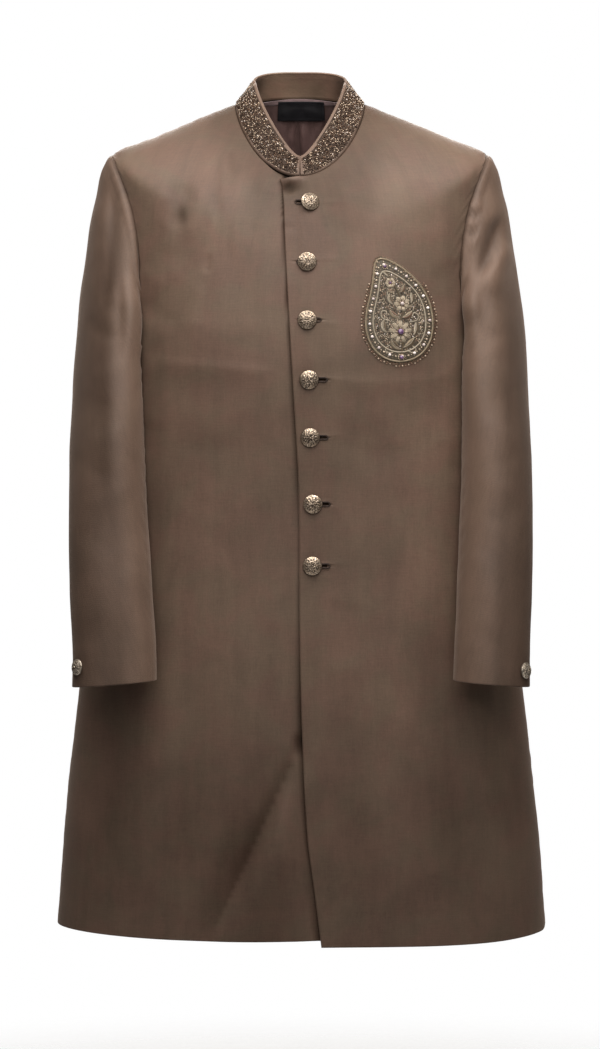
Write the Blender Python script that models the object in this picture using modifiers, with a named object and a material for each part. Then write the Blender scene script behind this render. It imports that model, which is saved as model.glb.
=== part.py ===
"""Sherwani coat: long stand-collar coat, filled out with no wearer.

Frame: +Z up, the coat's front faces -Y, +X is the wearer's left. The origin
lies between the two neck-side shoulder points, over the side seams.
Tables are in millimetres and degrees; MM turns them into metres.
"""
import bpy
import bmesh
import math
from mathutils import Matrix, Vector

MM = 0.001

# ---------------------------------------------------------------- sizes (mm)
WALL_BODY = 2.4          # face cloth, canvas and lining of the body
WALL_SLEEVE = 2.0
WALL_COLLAR = 2.6
WALL_LINING = 1.0
SEAM_GAP = 0.4           # between pieces along a seam
LINING_GAP = 1.3         # from the back to its lining
COLLAR_GAP = 0.9         # from the neck seam to the stand
LAP_GAP = 0.9            # between the over lap and the under lap
UNDER_LAP = 43.0         # how far the under front reaches past the lap edge
HEM_STEP = 8.0           # the under front's hem is this much higher
SKIRT_LEFT, SKIRT_RIGHT = 2.4, -1.0     # the skirt hangs a little to its left
HEM_SAG = 5.5            # and the over front's hangs this much lower near its side
SLEEVE_CLEAR = 4.0       # from sleeve to body
BUTTON_D = 22.5
CUFF_BUTTON_D = 19.0
SLIT_W = 2.6             # buttonhole
PANEL_COLS = 13
COLLAR_COLS = 44

# Body rings, neck to hem. side/front/back: height of the ring at the side,
# the centre front and the centre back. half_w: half width. y_front, y_back:
# depth. n_f, n_b: superellipse exponents. dip: how the height runs round.
# arm_f, arm_b: half width at which the front and the back end, at the armhole.
BODY_COLUMNS = ("side", "front", "back", "half_w", "y_front", "y_back",
                "n_f", "n_b", "dip", "arm_f", "arm_b")
BODY = (
    #  side   front   back   half_w  y_front y_back n_f   n_b   dip   arm_f  arm_b
    (3.0,    -94.0,  20.0,  78.0,   -88.0,  58.0,  2.00, 2.00, 1.30, 78.0,  78.0),    # neck seam
    (-15.5,  -109.0, 4.0,   124.0,  -94.0,  66.0,  2.05, 2.05, 1.45, 124.0, 124.0),
    (-36.5,  -127.0, -18.0, 175.0,  -100.0, 77.0,  2.12, 2.12, 1.55, 175.0, 175.0),
    (-58.5,  -146.0, -48.0, 224.0,  -105.0, 89.0,  2.20, 2.20, 1.60, 224.0, 224.0),   # shoulder point
    (-63.4,  -150.0, -54.0, 223.8,  -106.0, 90.5,  2.20, 2.20, 1.60, 219.5, 219.8),
    (-72.6,  -156.0, -63.0, 222.9,  -107.0, 92.5,  2.20, 2.20, 1.60, 213.5, 214.0),
    (-91.0,  -165.0, -78.0, 220.5,  -109.5, 95.5,  2.20, 2.20, 1.60, 205.2, 206.5),
    (-109.0, -176.0, -95.0, 219.5,  -111.5, 98.0,  2.20, 2.20, 1.60, 199.0, 200.5),
    (-133.0, -189.0, -116.0, 218.5, -113.5, 100.5, 2.20, 2.20, 1.60, 194.5, 196.0),
    (-161.0, -204.0, -148.0, 216.0, -116.0, 103.0, 2.25, 2.25, 1.62, 191.0, 192.5),
    (-210.0, -228.0, -203.0, 212.0, -119.5, 105.0, 2.30, 2.30, 1.70, 190.5, 192.0),
    (-246.0, -250.0, -243.0, 211.0, -121.5, 106.0, 2.35, 2.35, 1.75, 198.5, 199.0),
    (-261.0, -262.0, -260.0, 211.0, -122.5, 106.0, 2.38, 2.38, 1.80, 206.5, 206.5),
    (-266.0, -268.0, -266.0, 211.0, -123.0, 106.0, 2.40, 2.40, 1.80, 211.0, 211.0),   # armpit
    (-300.0, -303.0, -300.0, 214.0, -124.0, 105.0, 2.40, 2.40, 1.80, 214.0, 214.0),
    (-350.0, -354.0, -350.0, 219.5, -122.0, 101.0, 2.40, 2.40, 1.80, 219.5, 219.5),
    (-410.0, -414.0, -410.0, 227.0, -117.0, 96.0,  2.40, 2.40, 1.80, 227.0, 227.0),   # waist
    (-480.0, -485.0, -480.0, 236.5, -113.5, 96.0,  2.40, 2.40, 1.80, 236.5, 236.5),
    (-560.0, -566.0, -560.0, 247.0, -113.5, 103.0, 2.40, 2.40, 1.80, 247.0, 247.0),
    (-650.0, -657.0, -650.0, 259.0, -115.5, 110.0, 2.40, 2.40, 1.80, 259.0, 259.0),   # hip
    (-740.0, -748.0, -740.0, 269.5, -117.5, 116.0, 2.38, 2.38, 1.80, 269.5, 269.5),
    (-830.0, -839.0, -830.0, 279.5, -119.0, 120.0, 2.35, 2.35, 1.80, 279.5, 279.5),
    (-910.0, -920.0, -911.0, 286.5, -120.0, 123.0, 2.32, 2.32, 1.80, 286.5, 286.5),
    (-977.0, -990.0, -979.0, 291.0, -121.0, 125.0, 2.30, 2.30, 1.80, 291.0, 291.0),   # hem
)
NECK, TIP, PIT, HEM = 0, 3, 13, 23

# The visible edge of the over lap: x at each height.
LAP = (
    # z       x
    (-96.0,  -18.5),
    (-150.0, -18.3),
    (-240.0, -14.0),
    (-340.0, -8.2),
    (-450.0, -2.0),
    (-600.0, -0.8),
    (-700.0, 1.0),
    (-800.0, 4.5),
    (-870.0, 9.0),
    (-930.0, 17.0),
    (-990.0, 24.5),
)

# Largest soft folds on the fronts: a line from (x1, z1) to (x2, z2), the
# half width of the trough or step across it and its height.
FOLDS = (
    # side  kind     x1     z1      x2     z2      half_w height
    ("right", "step", 6.0, -735.0, -84.0, -945.0, 26.0,  4.0),
    ("right", "dip", -52.0, -60.0, -78.0, -235.0, 22.0, -1.6),
    ("right", "dip", -128.0, -95.0, -146.0, -200.0, 26.0, -2.0),
    ("left", "dip", 150.0, -330.0, 60.0, -420.0, 40.0, -1.5),
)

# Sleeve sections, from just over the bicep to the cuff. out and in: outer and
# inner edges of the right and the left sleeve, cy: centre depth,
# half_d: half depth, turn: how far the front leans inward, m: exponent,
# slant: how much lower the outer edge runs.
SLEEVE_COLUMNS = ("z", "out_right", "out_left", "in_right", "in_left",
                  "cy", "half_d", "turn", "m", "slant")
SLEEVE = (
    # z      out_right out_left in_right in_left cy    half_d turn  m    slant
    (-250.0, 263.5, 264.0, 184.5,  188.5,  -16.0,  70.0,  20.0, 2.10, 0.00),
    (-300.0, 269.5, 270.0, 184.5,  189.5,  -29.0,  71.0,  22.0, 2.10, 0.00),   # bicep
    (-355.0, 270.5, 272.0, 183.0,  189.5,  -48.0,  67.0,  22.0, 2.10, 0.00),
    (-425.0, 271.0, 272.5, 180.5,  189.0,  -71.0,  59.0,  14.0, 2.10, 0.00),   # elbow
    (-500.0, 269.5, 271.5, 177.0,  186.0,  -90.0,  50.0,  4.0,  2.15, 0.01),
    (-575.0, 266.5, 268.5, 171.0,  182.0,  -109.0, 45.0,  1.0,  2.20, 0.03),
    (-635.0, 262.5, 265.5, 166.5,  179.0,  -121.0, 41.0,  0.0,  2.25, 0.05),
    (-684.0, 262.0, 264.0, 165.0,  176.5,  -129.0, 38.0,  0.0,  2.25, 0.08),   # cuff
)
CAP_STEPS = (0.0, 0.1, 0.22, 0.38, 0.58, 0.8, 1.0)
ARM_KNOTS = PIT - TIP               # armhole points from the tip to the armpit
SEAM_FRONT = 9.0                    # sleeve seams, counted in armhole points
SEAM_HIND = 15.0

# Stand collar: width and inward lean, by the angle round from centre front.
COLLAR = (
    # angle  width  lean
    (0.0,    28.5,  28.0),
    (20.0,   33.0,  36.0),
    (45.0,   36.5,  43.0),
    (90.0,   36.0,  44.0),
    (135.0,  36.0,  37.0),
    (158.0,  35.0,  33.0),
    (180.0,  34.5,  34.0),
)

COLLAR_ROWS = (0.0, 0.07, 0.43, 0.80, 1.0)   # the beading lies between the plain edges

# Front buttons: centre, and the two ends of the buttonhole under each.
BUTTONS = (
    # x     z       slit_1  slit_2
    (11.7, -126.0, -4.5,   14.5),
    (8.2,  -197.0, -2.5,   16.5),
    (8.2,  -265.0, 3.5,    23.0),
    (10.3, -334.0, 7.5,    30.0),
    (11.8, -400.5, 9.0,    31.3),
    (14.8, -477.5, 12.0,   33.6),
    (14.2, -549.0, 11.5,   33.6),
)
BUTTON_PROFILE = (
    # radius, height: parts of the button's radius
    (0.00, 0.50), (0.30, 0.48), (0.55, 0.41), (0.76, 0.29), (0.90, 0.17),
    (1.00, 0.13), (1.00, 0.06), (0.93, 0.00),
)
CUFF_BUTTONS = {"right": (-661.0, 38.0), "left": (-665.0, 38.0)}   # z, angle

# Chest patch: a teardrop with a turned tip.
MOTIF_X, MOTIF_Z = 115.0, -252.0
MOTIF_W, MOTIF_H = 84.0, 126.0
LINING_W = 146.0
LABEL = (-28.0, 31.0, 18.0, -4.0)          # x1, x2, z top, z bottom

COLOURS = {
    "cloth": ((0.155, 0.105, 0.078), 0.62, 0.0),
    "lining": ((0.090, 0.050, 0.040), 0.35, 0.0),
    "beads": ((0.300, 0.200, 0.120), 0.40, 0.5),
    "motif": ((0.380, 0.310, 0.200), 0.45, 0.5),
    "label": ((0.012, 0.011, 0.013), 0.60, 0.0),
    "brass": ((0.560, 0.430, 0.300), 0.35, 1.0),
}


# ------------------------------------------------------------- small helpers
def hermite(a, b, da, db, t):
    t2, t3 = t * t, t * t * t
    return ((2 * t3 - 3 * t2 + 1) * a + (t3 - 2 * t2 + t) * da
            + (-2 * t3 + 3 * t2) * b + (t3 - t2) * db)


def spline(rows, column, s):
    """Smooth value of one column at row position s; straight past the ends."""
    last = len(rows) - 1
    if s <= 0:
        return rows[0][column] + s * (rows[1][column] - rows[0][column])
    if s >= last:
        return rows[last][column] + (s - last) * (rows[last][column] - rows[last - 1][column])
    i = min(int(s), last - 1)
    t = s - i
    a, b = rows[i][column], rows[i + 1][column]
    before = rows[i - 1][column] if i > 0 else 2 * a - b
    after = rows[i + 2][column] if i + 2 <= last else 2 * b - a
    return hermite(a, b, (b - before) / 2, (after - a) / 2, t)


def at_key(rows, key, column):
    """Smooth value of a column where the first column equals key."""
    up = rows[-1][0] > rows[0][0]
    last = len(rows) - 1
    for i in range(last):
        k0, k1 = rows[i][0], rows[i + 1][0]
        if (k0 <= key <= k1) if up else (k0 >= key >= k1):
            return spline(rows, column, i + (key - k0) / (k1 - k0))
    past = key < rows[0][0] if up else key > rows[0][0]
    return rows[0][column] if past else rows[last][column]


def smooth(t):
    t = min(1.0, max(0.0, t))
    return t * t * (3 - 2 * t)


def ring(s):
    return {name: spline(BODY, i, s) for i, name in enumerate(BODY_COLUMNS)}


# ------------------------------------------------------------- body surface
def body(side, s, phi):
    """Point of the coat's outer surface. phi runs from 0 at the centre front
    to 90 at the side and 180 at the centre back, below 0 past the centre."""
    r = ring(s)
    sin, cos = math.sin(math.radians(phi)), math.cos(math.radians(phi))
    front = cos >= 0
    n = r["n_f"] if front else r["n_b"]
    across = math.copysign(abs(sin) ** (2 / n), sin)
    depth = abs(cos) ** (2 / n)
    y = (r["y_front"] if front else r["y_back"]) * depth
    z = r["side"] + ((r["front"] if front else r["back"]) - r["side"]) * depth ** r["dip"]
    x = side * across
    x *= r["half_w"] + (SKIRT_LEFT if x > 0 else SKIRT_RIGHT) * smooth((-r["side"] - 560.0) / 150.0)
    return Vector((x, y, z))


def edge_angle(s, back=False):
    """Angle at which a panel ends: 90 at a seam, less at the armhole."""
    if s <= TIP or s >= PIT:
        return 90.0
    r = ring(s)
    ratio = min(1.0, r["arm_b" if back else "arm_f"] / r["half_w"])
    n = r["n_b" if back else "n_f"]
    return math.degrees(math.asin(ratio ** (n / 2)))


def angle_at_x(s, x):
    r = ring(s)
    ratio = min(1.0, abs(x) / r["half_w"])
    return math.copysign(math.degrees(math.asin(ratio ** (r["n_f"] / 2))), x)


def locate(x, z, back=False):
    """Row position and angle of the surface point over (x, z)."""
    low, high = -0.5, HEM + 0.3
    for _ in range(40):
        mid = (low + high) / 2
        phi = abs(angle_at_x(mid, x))
        if body(1, mid, 180 - phi if back else phi).z > z:
            low = mid
        else:
            high = mid
    phi = abs(angle_at_x(low, x))
    return low, (180 - phi if back else phi)


def normal_of(surface, u, v, inside):
    """Unit normal of surface(u, v), pointing away from the point inside."""
    e = 1e-3
    across = surface(u + e, v) - surface(u - e, v)
    along = surface(u, v + e) - surface(u, v - e)
    n = across.cross(along).normalized()
    return n if n.dot(surface(u, v) - inside) > 0 else -n


def relief(side, x, z):
    """Height of the large folds on a front at (x, z)."""
    total = 0.0
    for who, kind, x1, z1, x2, z2, half_w, height in FOLDS:
        if who != side:
            continue
        dx, dz = x2 - x1, z2 - z1
        length = math.hypot(dx, dz)
        along = ((x - x1) * dx + (z - z1) * dz) / length ** 2
        across = ((x - x1) * dz - (z - z1) * dx) / length
        if kind == "step":                       # raised on the centre's side
            ends = smooth(along / 0.25) * smooth((1.5 - along) / 0.4)
            rise = smooth((across + half_w) / (2 * half_w)) if dx < 0 else 0.0
            rise = 1 - rise
            total += height * ends * rise * (1 - smooth((abs(across) - 45.0) / 60.0))
        else:
            ends = smooth((along + 0.15) / 0.3) * smooth((1.15 - along) / 0.3)
            total += height * ends * math.exp(-(across / half_w) ** 2)
    return total


# -------------------------------------------------------- making the solids
def new_object(name, bm, material, home):
    bmesh.ops.recalc_face_normals(bm, faces=bm.faces)
    mesh = bpy.data.meshes.new(name)
    bm.to_mesh(mesh)
    bm.free()
    mesh.shade_smooth()
    mesh.set_sharp_from_angle(angle=math.radians(50))
    obj = bpy.data.objects.new(name, mesh)
    obj.data.materials.append(material)
    home.objects.link(obj)
    return obj


def wall(name, outer, inner, material, home):
    """Closed wall between two equal grids of points (rows of columns)."""
    bm = bmesh.new()
    rows, cols = len(outer), len(outer[0])
    top = [[bm.verts.new(p * MM) for p in row] for row in outer]
    low = [[bm.verts.new(p * MM) for p in row] for row in inner]
    for i in range(rows - 1):
        for j in range(cols - 1):
            bm.faces.new((top[i][j], top[i][j + 1], top[i + 1][j + 1], top[i + 1][j]))
            bm.faces.new((low[i][j], low[i + 1][j], low[i + 1][j + 1], low[i][j + 1]))
    rim = ([(0, j) for j in range(cols)] + [(i, cols - 1) for i in range(1, rows)]
           + [(rows - 1, j) for j in range(cols - 2, -1, -1)] + [(i, 0) for i in range(rows - 2, 0, -1)])
    for (i, j), (k, l) in zip(rim, rim[1:] + rim[:1]):
        bm.faces.new((top[i][j], low[i][j], low[k][l], top[k][l]))
    bmesh.ops.triangulate(bm, faces=bm.faces)
    return new_object(name, bm, material, home)


def cloth(name, surface, us, vs, thick, material, home, inside, lift=None):
    """Wall of cloth over surface(u, v) at the given columns and rows.
    lift(point) moves the outer face along the normal."""
    outer, inner = [], []
    for v in vs:
        row_o, row_i = [], []
        for u in us:
            p = surface(u, v)
            n = normal_of(surface, u, v, inside(p))
            rise = lift(p, u, v) if lift else 0.0
            row_o.append(p + n * rise)
            row_i.append(p + n * (rise - thick))
        outer.append(row_o)
        inner.append(row_i)
    return wall(name, outer, inner, material, home)


def steps(a, b, count):
    return [a + (b - a) * i / count for i in range(count + 1)]


def axis_point(p):
    """A point inside the coat at the height of p."""
    return Vector((p.x * 0.3, 0.0, min(p.z, -40.0) - 30.0))


def front_panel(side, material, home):
    """One front, from its lap edge round to the shoulder, armhole and side."""
    sign = 1 if side == "left" else -1

    def surface(u, v):
        height = ring(v)["front"]
        lap = at_key(LAP, height, 1)
        first = lap if sign > 0 else -(lap + UNDER_LAP)
        start = angle_at_x(v, first)
        end = edge_angle(v) - math.degrees(SEAM_GAP / 2 / ring(v)["half_w"]) * 1.2
        phi = start + (end - start) * u
        if phi < 0:                  # past the centre the neck edge runs down, not up
            p = body(sign, v, phi)
            drop = p.z - height + 0.2 * abs(p.x)
            v += drop / 15.5 * (1 - smooth(v / 3.0))
        return body(sign, v, phi)

    def lift(p, u, v):
        z = p.z
        rise = relief(side, p.x, z)
        if side == "right":                      # the under lap lies deeper
            lap = at_key(LAP, min(z, -96.0), 1)
            deep = 1 - smooth((lap - p.x - 2.0) / 26.0)
            rise = rise * (1 - deep) - (WALL_BODY + LAP_GAP) * deep
        return rise

    def hemmed(u, v):
        near = smooth(v - HEM + 1)
        row = BODY[HEM - 1][1] - BODY[HEM][1]
        if side == "left":                       # hangs lower toward the side
            return surface(u, v + HEM_SAG / row * near * smooth(u / 0.6) * smooth((1 - u) / 0.14))
        return surface(u, v - HEM_STEP / row * near * (1 - u))

    rows = [float(i) for i in range(NECK, HEM + 1)]
    rows.insert(1, 0.5)
    return cloth("front_" + side, hemmed, steps(0, 1, PANEL_COLS), rows, WALL_BODY,
                 material, home, axis_point, lift)


def back_panel(material, home):
    def surface(u, v):
        end = edge_angle(v, True) - math.degrees(SEAM_GAP / 2 / ring(v)["half_w"]) * 1.2
        return body(1, v, 180 + end * u)
    rows = [float(i) for i in range(NECK, HEM + 1)]
    rows.insert(1, 0.5)
    return cloth("back", surface, steps(-1, 1, 2 * PANEL_COLS - 2), rows, WALL_BODY,
                 material, home, axis_point)


# ------------------------------------------------------------------ sleeves
def armhole(sign, k):
    """Armhole edge: k 0 at the shoulder, to the front, ARM_KNOTS at the
    armpit, and on up the back to twice that."""
    back = k > ARM_KNOTS
    s = TIP + (2 * ARM_KNOTS - k if back else k)
    s = min(PIT, max(TIP, s))
    end = edge_angle(s, back)
    return body(sign, s, 180 - end if back else end), s, back, end


def arm_lengths():
    pts = [armhole(1, k)[0] for k in range(2 * ARM_KNOTS + 1)]
    run = [0.0]
    for a, b in zip(pts, pts[1:]):
        run.append(run[-1] + (b - a).length)
    half = run[ARM_KNOTS]
    rows = []
    for k, r in enumerate(run):
        if k <= ARM_KNOTS:
            rows.append((k, 180 * r / half))
        else:
            rows.append((k, 180 + 180 * (r - half) / (run[-1] - half)))
    return rows


ARM_ANGLES = arm_lengths()


def section(side, tau, psi):
    """Sleeve section point: tau is the row of SLEEVE, psi the angle from the
    outer edge toward the front."""
    c = {name: spline(SLEEVE, i, tau) for i, name in enumerate(SLEEVE_COLUMNS)}
    sign = 1 if side == "left" else -1
    outer, inner = c["out_" + side], c["in_" + side]
    lean = 0.55 * math.tan(math.radians(c["turn"]))
    cx, half_w = (outer + inner) / 2, (outer - inner) / 2
    half_w = math.sqrt(half_w ** 2 - (lean * c["half_d"]) ** 2)     # the lean adds to its width
    sin, cos = math.sin(math.radians(psi)), math.cos(math.radians(psi))
    dx = half_w * math.copysign(abs(cos) ** (2 / c["m"]), cos)
    dy = -c["half_d"] * math.copysign(abs(sin) ** (2 / c["m"]), sin)
    x = cx + dx + dy * lean
    return Vector((sign * x, c["cy"] + dy, c["z"] - c["slant"] * dx))


def body_slice(z):
    """Half width, front depth, back depth and exponent of the coat at z."""
    def find(column):
        for i in range(len(BODY) - 1):
            a, b = BODY[i][column], BODY[i + 1][column]
            if a >= z >= b and a > b:
                return i + (a - z) / (a - b)
        return float(HEM) if z < BODY[HEM][column] else 0.0
    s, f, b = find(0), find(1), find(2)
    return (spline(BODY, 3, s), -spline(BODY, 4, f), spline(BODY, 5, b),
            spline(BODY, 6, s))


def clear_of_body(p, middle, amount):
    """Draws a sleeve point toward the sleeve's middle until it is clear of
    the coat's body."""
    half_w, front, back, n = body_slice(p.z)

    def reach(x, y):
        depth = (front if y < 0 else back) + SLEEVE_CLEAR
        return (abs(x) / (half_w + SLEEVE_CLEAR)) ** n + (abs(y) / depth) ** n

    if reach(p.x, p.y) >= 1:
        return p
    mx, my = math.copysign(middle[0], p.x), middle[1]
    low, high = 0.0, 1.0
    for _ in range(22):
        f = (low + high) / 2
        if reach(mx + (p.x - mx) * f, my + (p.y - my) * f) >= 1:
            low = f
        else:
            high = f
    f = 1 + (low - 1) * amount
    return Vector((mx + (p.x - mx) * f, my + (p.y - my) * f, p.z))


def middle_of(side, tau):
    """A point well inside the sleeve's section, clear of the body."""
    c = {name: spline(SLEEVE, i, tau) for i, name in enumerate(SLEEVE_COLUMNS)}
    return c["out_" + side] - 0.36 * (c["out_" + side] - c["in_" + side]), c["cy"]


def sleeve(side, t, k):
    """Sleeve surface: t 0 to 1 over the cap, then one for each section."""
    sign = 1 if side == "left" else -1
    k = k % (2 * ARM_KNOTS)
    psi = spline(ARM_ANGLES, 1, k)
    if t >= 1:
        return clear_of_body(section(side, t, psi), middle_of(side, t), 1.0)
    edge, s, back, end = armhole(sign, k)
    e = 0.5
    out = (body(sign, s, (180 - end if back else end) + (-e if back else e)) - edge)
    out = out.normalized() if out.length > 0 else Vector((sign, 0, 0))
    low = 0.5 - 0.5 * math.cos(math.radians(psi))          # 0 at the tip, 1 at the armpit
    n = normal_of(lambda a, b: body(sign, b, a), 180 - end if back else end, s, Vector((0, 0, edge.z - 60)))
    up = Vector((0, 0, 1)) * smooth((low - 0.6) / 0.4)
    start = edge + (out * (1 - smooth((low - 0.6) / 0.4)) + up) * (SEAM_GAP + 0.1) + n * 0.6
    goal = section(side, 1.0, psi)
    goal_down = (section(side, 1.01, psi) - section(side, 0.99, psi)).normalized()
    reach = (goal - start).length
    away = Vector((sign, -0.42 * math.sin(math.radians(psi)) * (1 - low * 0.4), -0.16 - 0.9 * low * low)).normalized()
    p1 = start + away * (22.0 * (1 - low) + 13.0 * low)
    p2 = goal - goal_down * (0.72 * (1 - low) + 0.45 * low) * max(start.z - goal.z, 12.0)
    a, b = (1 - t), t
    p = start * a ** 3 + p1 * (3 * a * a * b) + p2 * (3 * a * b * b) + goal * b ** 3
    return clear_of_body(p, middle_of(side, 1.0), smooth(t / 0.5) * smooth((-150.0 - p.z) / 60.0))


def sleeve_axis(side):
    sign = 1 if side == "left" else -1

    def inside(p):
        row = 1 + (-300.0 - p.z) / 55.0
        x, y = middle_of(side, max(0.0, min(7.0, row)))
        if p.z > -240:
            x, y = 214.0, -4.0
        return Vector((sign * x, y, p.z - (60.0 if p.z > -200 else 10.0)))
    return inside


def sleeve_panel(side, part, material, home):
    """Top or under half of a two-piece sleeve."""
    gap = 0.012
    if part == "top":
        us = [SEAM_HIND - 2 * ARM_KNOTS + gap] + [float(k) for k in range(int(SEAM_HIND) - 2 * ARM_KNOTS + 1, int(SEAM_FRONT))] + [SEAM_FRONT - gap]
    else:
        us = [SEAM_FRONT + gap] + [float(k) for k in range(int(SEAM_FRONT) + 1, int(SEAM_HIND))] + [SEAM_HIND - gap]
    vs = list(CAP_STEPS) + [float(i) for i in range(2, len(SLEEVE))]
    return cloth("sleeve_%s_%s" % (side, part), lambda u, v: sleeve(side, v, u), us, vs,
                 WALL_SLEEVE, material, home, sleeve_axis(side))


# ------------------------------------------------------------------- collar
def collar(theta, v):
    """Stand collar's outer face: theta round the neck seam, v up the stand."""
    e = 0.2
    base = body(1, NECK, theta)
    run = (body(1, NECK, theta + e) - body(1, NECK, theta - e)).normalized()
    up = (Vector((0, 0, 1)) - run * run.z).normalized()
    inward = Vector((-run.y, run.x, 0)).normalized()
    round_ = theta if theta <= 180 else 360 - theta
    width, lean = at_key(COLLAR, round_, 1), math.radians(at_key(COLLAR, round_, 2))
    bow = 1.2 * 4 * v * (1 - v)
    rise = up * math.cos(lean) + inward * math.sin(lean)
    out = up * math.sin(lean) - inward * math.cos(lean)
    return base + rise * (COLLAR_GAP + (width - COLLAR_GAP) * v) + out * bow


def neck_axis(p):
    return Vector((0, 0, p.z))


def collar_columns():
    """Columns round the stand: its two ends, and the beading's between."""
    end, plain = angle_at_x(NECK, 0.5), angle_at_x(NECK, 6.0)
    return [end] + steps(plain, 360 - plain, COLLAR_COLS) + [360 - end]


def collar_piece(material, home):
    return cloth("collar", collar, collar_columns(), COLLAR_ROWS, WALL_COLLAR, material, home, neck_axis)


def beading(material, home):
    return cloth("collar_beading", collar, collar_columns()[1:-1], COLLAR_ROWS[1:-1], 1.2, material, home,
                 neck_axis, lambda p, u, v: 1.2 + 0.4)


# --------------------------------------------- pieces that lie on a panel
def lining(material, home):
    def surface(u, v):
        return body(1, v, 180 - angle_at_x(v, u))
    return cloth("neck_lining", surface, steps(-LINING_W / 2, LINING_W / 2, 12), (0.15, 0.6, 1.0, 1.5, 2.0, 3.0, 4.0, 5.0),
                 WALL_LINING, material, home, axis_point, lambda p, u, v: -(WALL_BODY + LINING_GAP))


def label(material, home):
    x1, x2, z1, z2 = LABEL
    deep = WALL_BODY + LINING_GAP + WALL_LINING + 1.0

    def surface(u, v):
        x, z = x1 + (x2 - x1) * u, z1 + (z2 - z1) * v
        s, phi = locate(x, z, True)
        return body(1 if x >= 0 else -1, s, phi)
    return cloth("neck_label", surface, steps(0, 1, 4), steps(0, 1, 2), 0.6, material, home,
                 axis_point, lambda p, u, v: -deep)


def teardrop(a):
    """Outline of the chest patch, in parts of its half width and height."""
    t = math.radians(a)
    body_w = math.sin(t) * (1 - 0.45 * (1 + math.cos(t)) / 2)
    x = body_w * 1.22
    z = math.cos(t)
    tip = max(0.0, z - 0.1) / 0.9
    return x - 0.52 * tip ** 2.2, z


def motif(material, home):
    around, rings = 36, 4
    bm = bmesh.new()
    layers = []
    for lift in (1.5, 0.3):
        def at(fx, fz):
            x, z = MOTIF_X + fx * MOTIF_W / 2, MOTIF_Z + fz * MOTIF_H / 2
            s, phi = locate(x, z)
            p = body(1, s, phi)
            n = normal_of(lambda u, v: body(1, v, u), phi, s, axis_point(p))
            return (p + n * (relief("left", p.x, p.z) + lift)) * MM
        centre = bm.verts.new(at(0.0, -0.15))
        loops = []
        for r in range(1, rings + 1):
            f = r / rings
            loops.append([bm.verts.new(at(teardrop(360 * i / around)[0] * f,
                                          -0.15 + (teardrop(360 * i / around)[1] + 0.15) * f))
                          for i in range(around)])
        for i in range(around):
            bm.faces.new((centre, loops[0][i], loops[0][(i + 1) % around]))
            for a, b in zip(loops, loops[1:]):
                bm.faces.new((a[i], b[i], b[(i + 1) % around], a[(i + 1) % around]))
        layers.append(loops[-1])
    for i in range(around):
        j = (i + 1) % around
        bm.faces.new((layers[0][i], layers[1][i], layers[1][j], layers[0][j]))
    bmesh.ops.triangulate(bm, faces=bm.faces)
    return new_object("chest_motif", bm, material, home)


# ------------------------------------------------------------------ buttons
def button(name, place, across, shank, material, home, turns=20):
    """Turned dome with a shank below its flat back."""
    r = across / 2
    profile = [(a * r, b * r) for a, b in BUTTON_PROFILE] + [(1.0, 0.0), (1.0, -shank), (0.0, -shank)]
    mesh = bpy.data.meshes.new(name)
    mesh.from_pydata([(x * MM, 0, z * MM) for x, z in profile], [(i, i + 1) for i in range(len(profile) - 1)], [])
    obj = bpy.data.objects.new(name, mesh)
    home.objects.link(obj)
    turn = obj.modifiers.new("turn", "SCREW")
    turn.steps = turn.render_steps = turns
    turn.use_merge_vertices = True
    turn.merge_threshold = 0.00001
    turn.use_smooth_shade = True
    obj.data.materials.append(material)
    obj.matrix_world = place
    return obj


def place_on(point, normal, lift):
    """Matrix with +Z along the normal, its origin lifted off the point."""
    z = normal.normalized()
    x = Vector((1, 0, 0)) if abs(z.x) < 0.9 else Vector((0, 1, 0))
    x = (x - z * x.dot(z)).normalized()
    y = z.cross(x)
    m = Matrix((x, y, z)).transposed().to_4x4()
    m.translation = (point + z * lift) * MM
    return m


def front_spot(x, z):
    s, phi = locate(abs(x), z)
    sign = 1 if x >= 0 else -1
    p = body(sign, s, phi)
    n = normal_of(lambda u, v: body(sign, v, u), max(phi, 0.05), s, axis_point(p))
    return p, n


def buttonholes(panel, cutters):
    """Slits through the over front, one under each button."""
    for i, (x, z, x1, x2) in enumerate(BUTTONS, 1):
        p, n = front_spot((x1 + x2) / 2, z)
        bpy.ops.mesh.primitive_cube_add(size=1)
        cutter = bpy.context.object
        cutter.name = "slit_%d" % i
        cutter.matrix_world = place_on(p, n, 0.0)
        cutter.scale = (abs(x2 - x1) * MM, SLIT_W * MM, 14 * MM)
        cutter.hide_render = True
        cutter.display_type = "WIRE"
        for c in list(cutter.users_collection):
            c.objects.unlink(cutter)
        cutters.objects.link(cutter)
        cut = panel.modifiers.new("slit_%d" % i, "BOOLEAN")
        cut.operation = "DIFFERENCE"
        cut.solver = "EXACT"
        cut.object = cutter


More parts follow.
